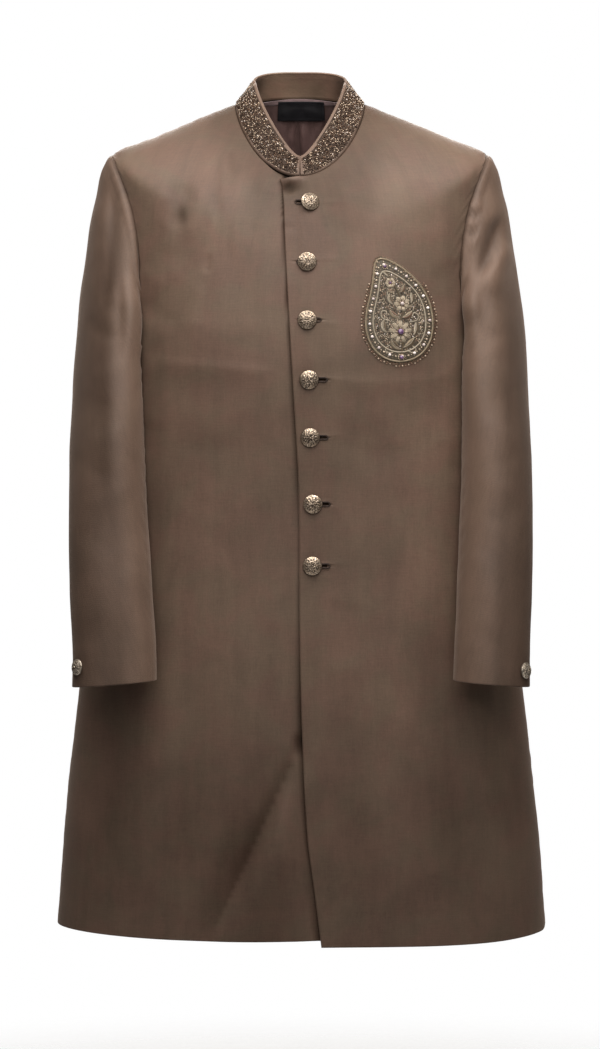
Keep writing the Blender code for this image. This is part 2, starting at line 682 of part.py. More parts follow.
def main():
    for obj in list(bpy.data.objects):
        bpy.data.objects.remove(obj, do_unlink=True)
    home = bpy.data.collections.new("sherwani_coat")
    cutters = bpy.data.collections.new("cutters")
    bpy.context.scene.collection.children.link(home)
    bpy.context.scene.collection.children.link(cutters)

    def paint(name, key):
        colour, rough, metal = COLOURS[key]
        mat = bpy.data.materials.new(name)
        mat.use_nodes = True
        shader = mat.node_tree.nodes["Principled BSDF"]
        shader.inputs["Base Color"].default_value = (*colour, 1)
        shader.inputs["Roughness"].default_value = rough
        shader.inputs["Metallic"].default_value = metal
        return mat

    front_panel("right", paint("front_right", "cloth"), home)
    over = front_panel("left", paint("front_left", "cloth"), home)
    back_panel(paint("back", "cloth"), home)
    for side in ("right", "left"):
        for part in ("top", "under"):
            sleeve_panel(side, part, paint("sleeve_%s_%s" % (side, part), "cloth"), home)
    collar_piece(paint("collar", "cloth"), home)
    beading(paint("collar_beading", "beads"), home)
    lining(paint("neck_lining", "lining"), home)
    label(paint("neck_label", "label"), home)
    motif(paint("chest_motif", "motif"), home)

    for i, (x, z, _, _) in enumerate(BUTTONS, 1):
        p, n = front_spot(x, z)
        lift = relief("left", x, z) + 0.8
        button("button_%d" % i, place_on(p, n, lift), BUTTON_D,
               0.8 + WALL_BODY + LAP_GAP - 0.3, paint("button_%d" % i, "brass"), home)
    for side, (z, psi) in CUFF_BUTTONS.items():
        tau = 6 + (BODY_Z(6) - z) / (BODY_Z(6) - BODY_Z(7))
        p = section(side, tau, psi)
        c = sleeve_axis(side)(p)
        n = normal_of(lambda u, v: section(side, v, u), psi, tau, c)
        button("cuff_button_%s" % side, place_on(p, n, 2.0), CUFF_BUTTON_D, 1.6,
               paint("cuff_button_%s" % side, "brass"), home)
    buttonholes(over, cutters)


def BODY_Z(i):
    return SLEEVE[i][0]


main()
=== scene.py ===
import bpy
import math
import random
import numpy as np
from mathutils import Matrix, Vector, noise


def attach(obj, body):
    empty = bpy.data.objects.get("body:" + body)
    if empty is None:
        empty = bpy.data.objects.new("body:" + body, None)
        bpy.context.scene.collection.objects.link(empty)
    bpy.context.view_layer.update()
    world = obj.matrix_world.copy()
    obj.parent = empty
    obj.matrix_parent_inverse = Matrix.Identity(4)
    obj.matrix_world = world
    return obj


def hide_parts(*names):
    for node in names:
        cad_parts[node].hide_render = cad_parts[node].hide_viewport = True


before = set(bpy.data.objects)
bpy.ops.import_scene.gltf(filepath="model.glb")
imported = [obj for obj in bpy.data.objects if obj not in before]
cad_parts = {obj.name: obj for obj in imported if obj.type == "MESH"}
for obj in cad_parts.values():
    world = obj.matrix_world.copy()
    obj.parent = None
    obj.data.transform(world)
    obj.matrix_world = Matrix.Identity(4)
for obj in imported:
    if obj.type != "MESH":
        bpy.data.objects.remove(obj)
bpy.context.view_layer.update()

MM = 0.001

# ======================================================================
# Sizes: the tables of the coat's pattern, in millimetres and degrees
# ======================================================================
WALL_BODY, WALL_SLEEVE, WALL_COLLAR, WALL_LINING = 2.4, 2.0, 2.6, 1.0
SEAM_GAP, LINING_GAP, COLLAR_GAP, LAP_GAP = 0.4, 1.3, 0.9, 0.9
UNDER_LAP = 43.0
HEM_STEP = 8.0
SKIRT_LEFT, SKIRT_RIGHT = 2.4, -1.0
HEM_SAG = 5.5
SLEEVE_CLEAR = 4.0
BUTTON_D, CUFF_BUTTON_D, SLIT_W = 22.5, 19.0, 2.6

# side, front, back, half_w, y_front, y_back, n_f, n_b, dip, arm_f, arm_b
SIDE, FRONT, BACK, HALF_W, Y_FRONT, Y_BACK, N_F, N_B, DIP, ARM_F, ARM_B = range(11)
BODY = np.array((
    (3.0,    -94.0,  20.0,  78.0,   -88.0,  58.0,  2.00, 2.00, 1.30, 78.0,  78.0),
    (-15.5,  -109.0, 4.0,   124.0,  -94.0,  66.0,  2.05, 2.05, 1.45, 124.0, 124.0),
    (-36.5,  -127.0, -18.0, 175.0,  -100.0, 77.0,  2.12, 2.12, 1.55, 175.0, 175.0),
    (-58.5,  -146.0, -48.0, 224.0,  -105.0, 89.0,  2.20, 2.20, 1.60, 224.0, 224.0),
    (-63.4,  -150.0, -54.0, 223.8,  -106.0, 90.5,  2.20, 2.20, 1.60, 219.5, 219.8),
    (-72.6,  -156.0, -63.0, 222.9,  -107.0, 92.5,  2.20, 2.20, 1.60, 213.5, 214.0),
    (-91.0,  -165.0, -78.0, 220.5,  -109.5, 95.5,  2.20, 2.20, 1.60, 205.2, 206.5),
    (-109.0, -176.0, -95.0, 219.5,  -111.5, 98.0,  2.20, 2.20, 1.60, 199.0, 200.5),
    (-133.0, -189.0, -116.0, 218.5, -113.5, 100.5, 2.20, 2.20, 1.60, 194.5, 196.0),
    (-161.0, -204.0, -148.0, 216.0, -116.0, 103.0, 2.25, 2.25, 1.62, 191.0, 192.5),
    (-210.0, -228.0, -203.0, 212.0, -119.5, 105.0, 2.30, 2.30, 1.70, 190.5, 192.0),
    (-246.0, -250.0, -243.0, 211.0, -121.5, 106.0, 2.35, 2.35, 1.75, 198.5, 199.0),
    (-261.0, -262.0, -260.0, 211.0, -122.5, 106.0, 2.38, 2.38, 1.80, 206.5, 206.5),
    (-266.0, -268.0, -266.0, 211.0, -123.0, 106.0, 2.40, 2.40, 1.80, 211.0, 211.0),
    (-300.0, -303.0, -300.0, 214.0, -124.0, 105.0, 2.40, 2.40, 1.80, 214.0, 214.0),
    (-350.0, -354.0, -350.0, 219.5, -122.0, 101.0, 2.40, 2.40, 1.80, 219.5, 219.5),
    (-410.0, -414.0, -410.0, 227.0, -117.0, 96.0,  2.40, 2.40, 1.80, 227.0, 227.0),
    (-480.0, -485.0, -480.0, 236.5, -113.5, 96.0,  2.40, 2.40, 1.80, 236.5, 236.5),
    (-560.0, -566.0, -560.0, 247.0, -113.5, 103.0, 2.40, 2.40, 1.80, 247.0, 247.0),
    (-650.0, -657.0, -650.0, 259.0, -115.5, 110.0, 2.40, 2.40, 1.80, 259.0, 259.0),
    (-740.0, -748.0, -740.0, 269.5, -117.5, 116.0, 2.38, 2.38, 1.80, 269.5, 269.5),
    (-830.0, -839.0, -830.0, 279.5, -119.0, 120.0, 2.35, 2.35, 1.80, 279.5, 279.5),
    (-910.0, -920.0, -911.0, 286.5, -120.0, 123.0, 2.32, 2.32, 1.80, 286.5, 286.5),
    (-977.0, -990.0, -979.0, 291.0, -121.0, 125.0, 2.30, 2.30, 1.80, 291.0, 291.0),
))
NECK, TIP, PIT, HEM = 0, 3, 13, 23
KNOTS = -(BODY[:, SIDE] + BODY[:, FRONT]) / 2      # the rows' spacing down the cloth

LAP = np.array((
    (-96.0, -18.5), (-150.0, -18.3), (-240.0, -14.0), (-340.0, -8.2), (-450.0, -2.0),
    (-600.0, -0.8), (-700.0, 1.0), (-800.0, 4.5), (-870.0, 9.0), (-930.0, 17.0), (-990.0, 24.5),
))

FOLDS = (
    ("right", "step", 6.0, -735.0, -84.0, -945.0, 26.0,  4.0),
    ("right", "dip", -52.0, -60.0, -78.0, -235.0, 22.0, -1.6),
    ("right", "dip", -128.0, -95.0, -146.0, -200.0, 26.0, -2.0),
    ("left", "dip", 150.0, -330.0, 60.0, -420.0, 40.0, -1.5),
)

# z, out_right, out_left, in_right, in_left, cy, half_d, turn, m, slant
SLEEVE = np.array((
    (-250.0, 263.5, 264.0, 184.5,  188.5,  -16.0,  70.0,  20.0, 2.10, 0.00),
    (-300.0, 269.5, 270.0, 184.5,  189.5,  -29.0,  71.0,  22.0, 2.10, 0.00),
    (-355.0, 270.5, 272.0, 183.0,  189.5,  -48.0,  67.0,  22.0, 2.10, 0.00),
    (-425.0, 271.0, 272.5, 180.5,  189.0,  -71.0,  59.0,  14.0, 2.10, 0.00),
    (-500.0, 269.5, 271.5, 177.0,  186.0,  -90.0,  50.0,  4.0,  2.15, 0.01),
    (-575.0, 266.5, 268.5, 171.0,  182.0,  -109.0, 45.0,  1.0,  2.20, 0.03),
    (-635.0, 262.5, 265.5, 166.5,  179.0,  -121.0, 41.0,  0.0,  2.25, 0.05),
    (-684.0, 262.0, 264.0, 165.0,  176.5,  -129.0, 38.0,  0.0,  2.25, 0.08),
))
OUT = {"right": 1, "left": 2}
INN = {"right": 3, "left": 4}
ARM_KNOTS = PIT - TIP
SEAM_FRONT, SEAM_HIND = 9.0, 15.0

COLLAR = np.array((
    (0.0, 28.5, 28.0), (20.0, 33.0, 36.0), (45.0, 36.5, 43.0), (90.0, 36.0, 44.0),
    (135.0, 36.0, 37.0), (158.0, 35.0, 33.0), (180.0, 34.5, 34.0),
))
BUTTONS = (
    (11.7, -126.0, -4.5,   14.5),
    (8.2,  -197.0, -2.5,   16.5),
    (8.2,  -265.0, 3.5,    23.0),
    (10.3, -334.0, 7.5,    30.0),
    (11.8, -400.5, 9.0,    31.3),
    (14.8, -477.5, 12.0,   33.6),
    (14.2, -549.0, 11.5,   33.6),
)
CUFF_BUTTONS = {"right": (-661.0, 38.0), "left": (-665.0, 38.0)}
MOTIF_X, MOTIF_Z, MOTIF_W, MOTIF_H = 115.0, -252.0, 84.0, 126.0
LINING_W = 146.0
LABEL = (-28.0, 31.0, 18.0, -4.0)


# ======================================================================
# Surfaces, on whole arrays of points at a time
# ======================================================================
def col(rows, c, s):
    """Smooth value of one column at row position s; straight past the ends."""
    v = rows[:, c]
    k = KNOTS if rows is BODY else np.arange(len(v), dtype=float)
    s = np.asarray(s, float)
    last = len(v) - 1
    slope = np.empty(len(v))
    step = np.diff(k)
    chord = np.diff(v) / step
    slope[1:-1] = (chord[:-1] * step[1:] + chord[1:] * step[:-1]) / (step[:-1] + step[1:])
    slope[0] = 2 * chord[0] - slope[1] if rows is BODY else chord[0]
    slope[-1] = 2 * chord[-1] - slope[-2] if rows is BODY else chord[-1]
    i = np.clip(np.floor(s).astype(int), 0, last - 1)
    t = s - i
    a, b = v[i], v[i + 1]
    da, db = slope[i] * step[i], slope[i + 1] * step[i]
    t2 = t * t
    t3 = t2 * t
    mid = ((2 * t3 - 3 * t2 + 1) * a + (t3 - 2 * t2 + t) * da
           + (-2 * t3 + 3 * t2) * b + (t3 - t2) * db)
    return np.where(s <= 0, v[0] + s * (v[1] - v[0]),
                    np.where(s >= last, v[last] + (s - last) * (v[last] - v[last - 1]), mid))


def row_of(rows, c, key):
    """Row position where a falling or rising column passes key."""
    v = rows[:, c]
    if v[-1] < v[0]:
        return np.interp(-np.asarray(key, float), -v, np.arange(len(v)))
    return np.interp(key, v, np.arange(len(v)))


def at_key(rows, key, c):
    return col(rows, c, row_of(rows, 0, key))


def smooth(t):
    t = np.clip(t, 0.0, 1.0)
    return t * t * (3 - 2 * t)


def stack(x, y, z):
    return np.stack(np.broadcast_arrays(x, y, z), -1)


def unit(v):
    return v / np.maximum(np.linalg.norm(v, axis=-1, keepdims=True), 1e-12)


def dot(a, b):
    return (a * b).sum(-1)


def body(side, s, phi):
    s, phi = np.broadcast_arrays(np.asarray(s, float), np.asarray(phi, float))
    sin, cos = np.sin(np.radians(phi)), np.cos(np.radians(phi))
    front = cos >= 0
    n = np.where(front, col(BODY, N_F, s), col(BODY, N_B, s))
    across = np.sign(sin) * np.abs(sin) ** (2 / n)
    depth = np.abs(cos) ** (2 / n)
    y = np.where(front, col(BODY, Y_FRONT, s), col(BODY, Y_BACK, s)) * depth
    low = col(BODY, SIDE, s)
    z = low + (np.where(front, col(BODY, FRONT, s), col(BODY, BACK, s)) - low) * depth ** col(BODY, DIP, s)
    x = side * across
    x = x * (col(BODY, HALF_W, s) + np.where(x > 0, SKIRT_LEFT, SKIRT_RIGHT) * smooth((-low - 560.0) / 150.0))
    return stack(x, y, z)


def edge_angle(s, back=False):
    s = np.asarray(s, float)
    ratio = np.minimum(1.0, col(BODY, ARM_B if back else ARM_F, s) / col(BODY, HALF_W, s))
    n = col(BODY, N_B if back else N_F, s)
    a = np.degrees(np.arcsin(ratio ** (n / 2)))
    return np.where((s <= TIP) | (s >= PIT), 90.0, a)


def angle_at_x(s, x):
    ratio = np.minimum(1.0, np.abs(x) / col(BODY, HALF_W, s))
    return np.copysign(np.degrees(np.arcsin(ratio ** (col(BODY, N_F, s) / 2))), x)


def locate(x, z, back=False):
    x, z = np.broadcast_arrays(np.asarray(x, float), np.asarray(z, float))
    low, high = np.full(x.shape, -0.5), np.full(x.shape, HEM + 0.3)
    for _ in range(36):
        mid = (low + high) / 2
        phi = np.abs(angle_at_x(mid, x))
        above = body(1, mid, 180 - phi if back else phi)[..., 2] > z
        low, high = np.where(above, mid, low), np.where(above, high, mid)
    phi = np.abs(angle_at_x(low, x))
    return low, (180 - phi if back else phi)


def spot(x, z, back=False):
    """Points of the body's outer surface over (x, z), and their normals."""
    x, z = np.broadcast_arrays(np.asarray(x, float), np.asarray(z, float))
    s, phi = locate(x, z, back)
    sign = np.where(x >= 0, 1.0, -1.0)
    phi_ = np.where(back, np.minimum(phi, 179.95), np.maximum(phi, 0.05))
    e = 1e-3
    p = body(sign, s, phi)
    across = body(sign, s, phi_ + e) - body(sign, s, phi_ - e)
    along = body(sign, s + e, phi_) - body(sign, s - e, phi_)
    n = unit(np.cross(across, along))
    n = n * np.sign(dot(n, p - stack(p[..., 0] * 0.3, 0 * p[..., 1], np.minimum(p[..., 2], -40) - 30)))[..., None]
    return p, n


def relief(side, x, z):
    """The solids' own large folds."""
    total = np.zeros(np.broadcast(x, z).shape)
    for who, kind, x1, z1, x2, z2, half_w, height in FOLDS:
        if who != side:
            continue
        dx, dz = x2 - x1, z2 - z1
        length = math.hypot(dx, dz)
        along = ((x - x1) * dx + (z - z1) * dz) / length ** 2
        across = ((x - x1) * dz - (z - z1) * dx) / length
        if kind == "step":
            ends = smooth(along / 0.25) * smooth((1.5 - along) / 0.4)
            rise = 1 - smooth((across + half_w) / (2 * half_w))
            total = total + height * ends * rise * (1 - smooth((np.abs(across) - 45.0) / 60.0))
        else:
            ends = smooth((along + 0.15) / 0.3) * smooth((1.15 - along) / 0.3)
            total = total + height * ends * np.exp(-(across / half_w) ** 2)
    return total


def grid_normals(p, inside):
    """Unit normals of a grid of points, pointing away from the points inside."""
    a = np.gradient(p, axis=1)
    b = np.gradient(p, axis=0)
    n = unit(np.cross(a, b))
    flip = dot(n, p - inside) < 0
    return np.where(flip[..., None], -n, n)


def axis_points(p):
    return stack(p[..., 0] * 0.3, 0 * p[..., 1], np.minimum(p[..., 2], -40.0) - 30.0)


# ---------------------------------------------------------------- sleeves
def armhole(sign, k):
    k = np.asarray(k, float)
    back = k > ARM_KNOTS
    s = TIP + np.where(back, 2 * ARM_KNOTS - k, k)
    s = np.clip(s, TIP, PIT)
    end = np.where(back, edge_angle(s, True), edge_angle(s, False))
    phi = np.where(back, 180 - end, end)
    return body(sign, s, phi), s, back, phi


def arm_lengths():
    pts = armhole(1, np.arange(2 * ARM_KNOTS + 1.0))[0]
    run = np.concatenate([[0.0], np.cumsum(np.linalg.norm(np.diff(pts, axis=0), axis=1))])
    half = run[ARM_KNOTS]
    k = np.arange(2 * ARM_KNOTS + 1.0)
    return np.stack([k, np.where(k <= ARM_KNOTS, 180 * run / half, 180 + 180 * (run - half) / (run[-1] - half))], 1)


ARM_ANGLES = arm_lengths()


def section(side, tau, psi):
    c = {n: col(SLEEVE, i, tau) for i, n in enumerate(("z", "or", "ol", "ir", "il", "cy", "hd", "turn", "m", "slant"))}
    sign = 1 if side == "left" else -1
    outer, inner = c["ol" if sign > 0 else "or"], c["il" if sign > 0 else "ir"]
    lean = 0.55 * np.tan(np.radians(c["turn"]))
    cx, half_w = (outer + inner) / 2, (outer - inner) / 2
    half_w = np.sqrt(half_w ** 2 - (lean * c["hd"]) ** 2)
    sin, cos = np.sin(np.radians(psi)), np.cos(np.radians(psi))
    dx = half_w * np.sign(cos) * np.abs(cos) ** (2 / c["m"])
    dy = -c["hd"] * np.sign(sin) * np.abs(sin) ** (2 / c["m"])
    return stack(sign * (cx + dx + dy * lean), c["cy"] + dy, c["z"] - c["slant"] * dx)


def clear_of_body(p, middle, amount):
    z = p[..., 2]
    half_w = col(BODY, HALF_W, row_of(BODY, SIDE, z)) + SLEEVE_CLEAR
    front = -col(BODY, Y_FRONT, row_of(BODY, FRONT, z)) + SLEEVE_CLEAR
    back = col(BODY, Y_BACK, row_of(BODY, BACK, z)) + SLEEVE_CLEAR
    n = col(BODY, N_F, row_of(BODY, SIDE, z))

    def reach(x, y):
        return (np.abs(x) / half_w) ** n + (np.abs(y) / np.where(y < 0, front, back)) ** n

    x, y = p[..., 0], p[..., 1]
    free = reach(x, y) >= 1
    mx, my = np.copysign(middle[0], x), middle[1]
    low, high = np.zeros(x.shape), np.ones(x.shape)
    for _ in range(22):
        f = (low + high) / 2
        ok = reach(mx + (x - mx) * f, my + (y - my) * f) >= 1
        low, high = np.where(ok, f, low), np.where(ok, high, f)
    f = 1 + (low - 1) * amount
    f = np.where(free, 1.0, f)
    return stack(mx + (x - mx) * f, my + (y - my) * f, z)


def middle_of(side, tau):
    outer, inner = col(SLEEVE, OUT[side], tau), col(SLEEVE, INN[side], tau)
    return outer - 0.36 * (outer - inner), col(SLEEVE, 5, tau)


def sleeve(side, t, k):
    """t 0 to 1 over the cap, then one for each section; k round the armhole."""
    t, k = np.broadcast_arrays(np.asarray(t, float), np.asarray(k, float))
    sign = 1 if side == "left" else -1
    k = np.mod(k, 2 * ARM_KNOTS)
    psi = col(ARM_ANGLES, 1, k)
    tube = clear_of_body(section(side, np.maximum(t, 1.0), psi), middle_of(side, np.maximum(t, 1.0)), 1.0)
    edge, s, back, phi = armhole(sign, k)
    step = np.where(back, -0.5, 0.5)
    out = unit(body(sign, s, phi + step) - edge)
    turn = np.minimum(psi, 360 - psi)
    tip = np.exp(-(turn / 16.0) ** 2)[..., None]
    out = unit(out * (1 - tip) + np.array((sign * 1.0, 0, -0.42)) * tip)
    low = 0.5 - 0.5 * np.cos(np.radians(psi))
    e = 1e-3
    across = body(sign, s, phi + e) - body(sign, s, phi - e)
    along = body(sign, s + e, phi) - body(sign, s - e, phi)
    n = unit(np.cross(across, along))
    n = n * np.sign(dot(n, edge - stack(0 * low, 0 * low, edge[..., 2] - 60)))[..., None]
    rise = smooth((low - 0.6) / 0.4)[..., None]
    start = edge + (out * (1 - rise) + np.array((0, 0, 1.0)) * rise) * (SEAM_GAP + 0.1) + n * 0.6
    goal = section(side, 1.0, psi)
    goal_down = unit(section(side, 1.01, psi) - section(side, 0.99, psi))
    away = unit(stack(sign + 0 * low, -0.42 * np.sin(np.radians(psi)) * (1 - low * 0.4), -0.16 - 0.9 * low * low))
    lw = low[..., None]
    p1 = start + away * (22.0 * (1 - lw) + 13.0 * lw)
    p2 = goal - goal_down * ((0.72 * (1 - low) + 0.45 * low) * np.maximum(start[..., 2] - goal[..., 2], 12.0))[..., None]
    tt = np.minimum(t, 1.0)[..., None]
    a, b = 1 - tt, tt
    # the seam itself is tucked under the body's edge
    tuck = edge + (out * (1 - rise) + np.array((0, 0, 1.0)) * rise) * (-1.3 - 1.2 * tip) - n * (1.0 - 0.8 * tip)
    p = tuck * a ** 3 + p1 * (3 * a * a * b) + p2 * (3 * a * b * b) + goal * b ** 3
    one = np.ones(p.shape[:-1])
    mid = middle_of(side, one)
    cap = clear_of_body(p, mid, smooth(tt[..., 0] / 0.5) * smooth((-150.0 - p[..., 2]) / 60.0))
    return np.where((t >= 1)[..., None], tube, cap)


def sleeve_inside(side, p):
    sign = 1 if side == "left" else -1
    row = np.clip(1 + (-300.0 - p[..., 2]) / 55.0, 0, 7)
    x, y = middle_of(side, row)
    high = p[..., 2] > -240
    return stack(sign * np.where(high, 214.0, x), np.where(high, -4.0, y),
                 p[..., 2] - np.where(p[..., 2] > -200, 60.0, 10.0))


# ----------------------------------------------------------------- collar
def collar(theta, v):
    theta, v = np.broadcast_arrays(np.asarray(theta, float), np.asarray(v, float))
    e = 0.2
    base = body(1, 0.0, theta)
    run = unit(body(1, 0.0, theta + e) - body(1, 0.0, theta - e))
    up = unit(np.array((0, 0, 1.0)) - run * run[..., 2:3])
    inward = unit(stack(-run[..., 1], run[..., 0], 0 * theta))
    round_ = np.where(theta <= 180, theta, 360 - theta)
    width, lean = at_key(COLLAR, round_, 1), np.radians(at_key(COLLAR, round_, 2))
    bow = 1.2 * 4 * v * (1 - v)
    c, s = np.cos(lean)[..., None], np.sin(lean)[..., None]
    rise = up * c + inward * s
    out = up * s - inward * c
    return base + rise * (COLLAR_GAP + (width - COLLAR_GAP) * v)[..., None] + out * bow[..., None]


# ======================================================================
# Creases: soft troughs and ridges. Each is a run of points
# over the front (x, z) or the back (x, z), half width, height (below 0 for a
# trough) and how far its two sides differ.
# ======================================================================
def crease_field(x, z, creases):
    total = np.zeros(x.shape)
    for points, half_w, height, skew in creases:
        pts = np.array(points, float)
        if len(pts) > 2:                      # smooth run through the points
            s = np.linspace(0, len(pts) - 1, 6 * (len(pts) - 1) + 1)
            pts = np.stack([col(pts, 0, s), col(pts, 1, s)], 1)
        seg = np.diff(pts, axis=0)
        lens = np.hypot(seg[:, 0], seg[:, 1])
        whole = lens.sum()
        near = ((x > pts[:, 0].min() - 3.2 * half_w) & (x < pts[:, 0].max() + 3.2 * half_w)
                & (z > pts[:, 1].min() - 3.2 * half_w) & (z < pts[:, 1].max() + 3.2 * half_w))
        if not near.any():
            continue
        px, pz = x[near], z[near]
        best = np.full(px.shape, 1e9)
        side_d = np.zeros(px.shape)
        along = np.zeros(px.shape)
        run = 0.0
        for (ax, az), (dx, dz), ln in zip(pts, seg, lens):
            t = ((px - ax) * dx + (pz - az) * dz) / ln ** 2
            tc = np.clip(t, 0, 1)
            d = np.hypot(px - ax - tc * dx, pz - az - tc * dz)
            cross = ((px - ax) * dz - (pz - az) * dx) / ln
            better = d < best
            best = np.where(better, d, best)
            side_d = np.where(better, np.copysign(d, cross), side_d)
            along = np.where(better, (run + tc * ln) / whole, along)
            run += ln
        w = half_w * (1 + skew * np.sign(side_d)) * (0.55 + 0.9 * np.sin(np.pi * np.clip(along, 0.04, 0.96)) ** 0.8)
        ends = smooth(along / 0.3) * smooth((1 - along) / 0.3)
        total[near] += height * ends * np.exp(-(best / w) ** 2)
    return total


FRONT_CREASES = (
    # soft vertical drags below the collar, on the wearer's right chest
    (((-94, -60), (-95, -90), (-96, -124), (-94, -160)), 3.6, -1.0, 0.35),
    (((-84, -56), (-82, -74), (-80, -98)), 3.4, -0.9, -0.3),
    (((-89, -62), (-88, -98), (-87, -140)), 5.5, 0.8, 0.1),
    (((-134, -96), (-141, -128), (-143, -166)), 11.0, -1.3, 0.2),
    (((-150, -104), (-156, -130), (-158, -160)), 8.0, 1.1, 0.2),
    (((-120, -96), (-124, -134), (-128, -176)), 10.0, 0.7, 0.2),
    (((-106, -184), (-107, -198), (-106, -212)), 3.4, -0.7, 0.2),
    (((-112, -216), (-122, -246), (-128, -286)), 9.0, 0.9, 0.2),
    (((-82, -62), (-88, -100), (-96, -150)), 9.0, -0.8, 0.25),
    (((-66, -78), (-71, -120), (-74, -162), (-72, -205)), 8.0, 1.2, -0.2),
    (((-98, -58), (-110, -95), (-121, -130)), 9.0, 0.9, 0.2),
    (((-48, -92), (-52, -130), (-60, -176)), 6.5, -0.9, 0.0),
    (((-120, -100), (-139, -128), (-150, -160)), 11.0, -1.5, 0.3),
    (((-138, -118), (-152, -150), (-158, -192)), 9.0, 1.0, -0.1),
    # and on the left, weaker
    (((70, -70), (82, -106), (88, -150)), 9.0, -0.9, 0.2),
    (((96, -60), (112, -92), (126, -126)), 10.0, 0.9, -0.2),
    (((138, -88), (150, -124), (152, -166)), 12.0, -1.0, 0.1),
    (((52, -92), (60, -132), (62, -168)), 8.0, 0.8, 0.2),
    # the shelf across the chest, uneven, a little lower on the left
    (((-188, -300), (-150, -314), (-96, -320), (-50, -324), (-12, -322)), 10.0, 1.1, 0.5),
    (((-182, -316), (-140, -330), (-84, -336), (-30, -338)), 13.0, -0.8, 0.2),
    (((12, -330), (60, -338), (110, -338), (160, -330), (186, -322)), 11.0, 0.9, 0.4),
    (((30, -350), (84, -356), (132, -354)), 12.0, -0.7, -0.2),
    # drags from the armholes
    (((-190, -196), (-172, -214), (-148, -226)), 8.0, 0.9, 0.2),
    (((-192, -232), (-168, -254), (-138, -272)), 9.0, -0.9, 0.1),
    (((190, -190), (172, -206), (150, -222)), 8.0, -0.8, -0.2),
    (((192, -238), (170, -258), (140, -266)), 9.0, 0.8, 0.1),
    (((-200, -276), (-186, -306), (-160, -330)), 9.0, 1.0, 0.1),
    (((200, -276), (184, -310), (158, -336)), 9.0, 0.9, -0.1),
    # waist: small cross creases near the side seams
    (((-216, -372), (-188, -388), (-150, -392)), 8.5, -0.9, 0.3),
    (((-222, -418), (-196, -426), (-166, -420)), 8.0, 0.8, 0.0),
    (((-226, -452), (-204, -470), (-176, -474)), 9.0, -0.8, 0.2),
    (((218, -380), (190, -398), (148, -404)), 9.0, 0.8, 0.2),
    (((224, -430), (200, -436), (164, -430)), 8.0, -0.9, 0.1),
    (((230, -470), (206, -488), (180, -496)), 9.0, 0.7, 0.2),
    (((60, -412), (100, -420), (146, -414)), 11.0, -0.6, 0.3),
    (((-60, -404), (-102, -412), (-150, -408)), 11.0, -0.6, 0.2),
    # long soft falls of the skirt
    (((-150, -560), (-160, -680), (-178, -800), (-190, -930)), 22.0, 1.8, 0.2),
    (((-196, -590), (-210, -700), (-222, -830), (-236, -960)), 20.0, -1.9, 0.1),
    (((-110, -620), (-124, -740), (-134, -850), (-150, -975)), 20.0, -1.5, -0.2),
    (((-60, -600), (-66, -680), (-74, -770)), 18.0, 1.0, 0.2),
    (((96, -580), (106, -700), (118, -830), (128, -960)), 24.0, 1.7, 0.2),
    (((146, -560), (160, -690), (172, -810), (184, -965)), 22.0, -1.9, -0.1),
    (((196, -600), (208, -720), (224, -850), (234, -970)), 20.0, 1.8, 0.15),
    (((52, -640), (58, -760), (66, -880), (74, -985)), 20.0, -1.4, 0.2),
    (((236, -640), (250, -760), (262, -900)), 15.0, -1.6, 0.1),
    (((-240, -650), (-254, -780), (-266, -930)), 15.0, 1.6, 0.1),
    # shadows' hollows where the sleeves rest by the body
    (((-206, -330), (-214, -450), (-222, -560), (-228, -640)), 16.0, -1.6, 0.2),
    (((206, -330), (214, -450), (224, -560), (232, -640)), 16.0, -0.6, -0.2),
    # the fold's own second crease on the under skirt
    (((7, -742), (-22, -806), (-54, -872), (-86, -948)), 7.5, -2.5, 0.35),
    (((22, -750), (-6, -822), (-38, -892), (-66, -958)), 10.0, 2.3, -0.2),
    # the over front's top corner: a lip, and a hollow under it
    (((-19, -98), (-8, -97.5), (5, -97)), 3.2, 1.7, 0.0),
    (((-18, -104), (-13, -110), (-9, -119)), 5.0, -2.0, 0.0),
    (((-24, -94), (-30, -104), (-34, -118)), 5.0, 0.8, 0.0),
    (((-8, -748), (-34, -796), (-58, -852), (-72, -915)), 9.0, 1.2, 0.5),
    (((-26, -742), (-62, -812), (-92, -890), (-106, -960)), 13.0, -1.2, -0.3),
    (((4, -752), (-4, -800), (-10, -850)), 8.0, -1.0, 0.2),
    # small ones at the lap below the last button
    (((-2, -596), (-20, -612), (-44, -618)), 6.0, 0.5, 0.2),
    (((26, -590), (50, -600), (80, -598)), 7.0, -0.5, 0.2),
    (((22, -655), (46, -668), (74, -668)), 8.0, 0.5, -0.2),
)

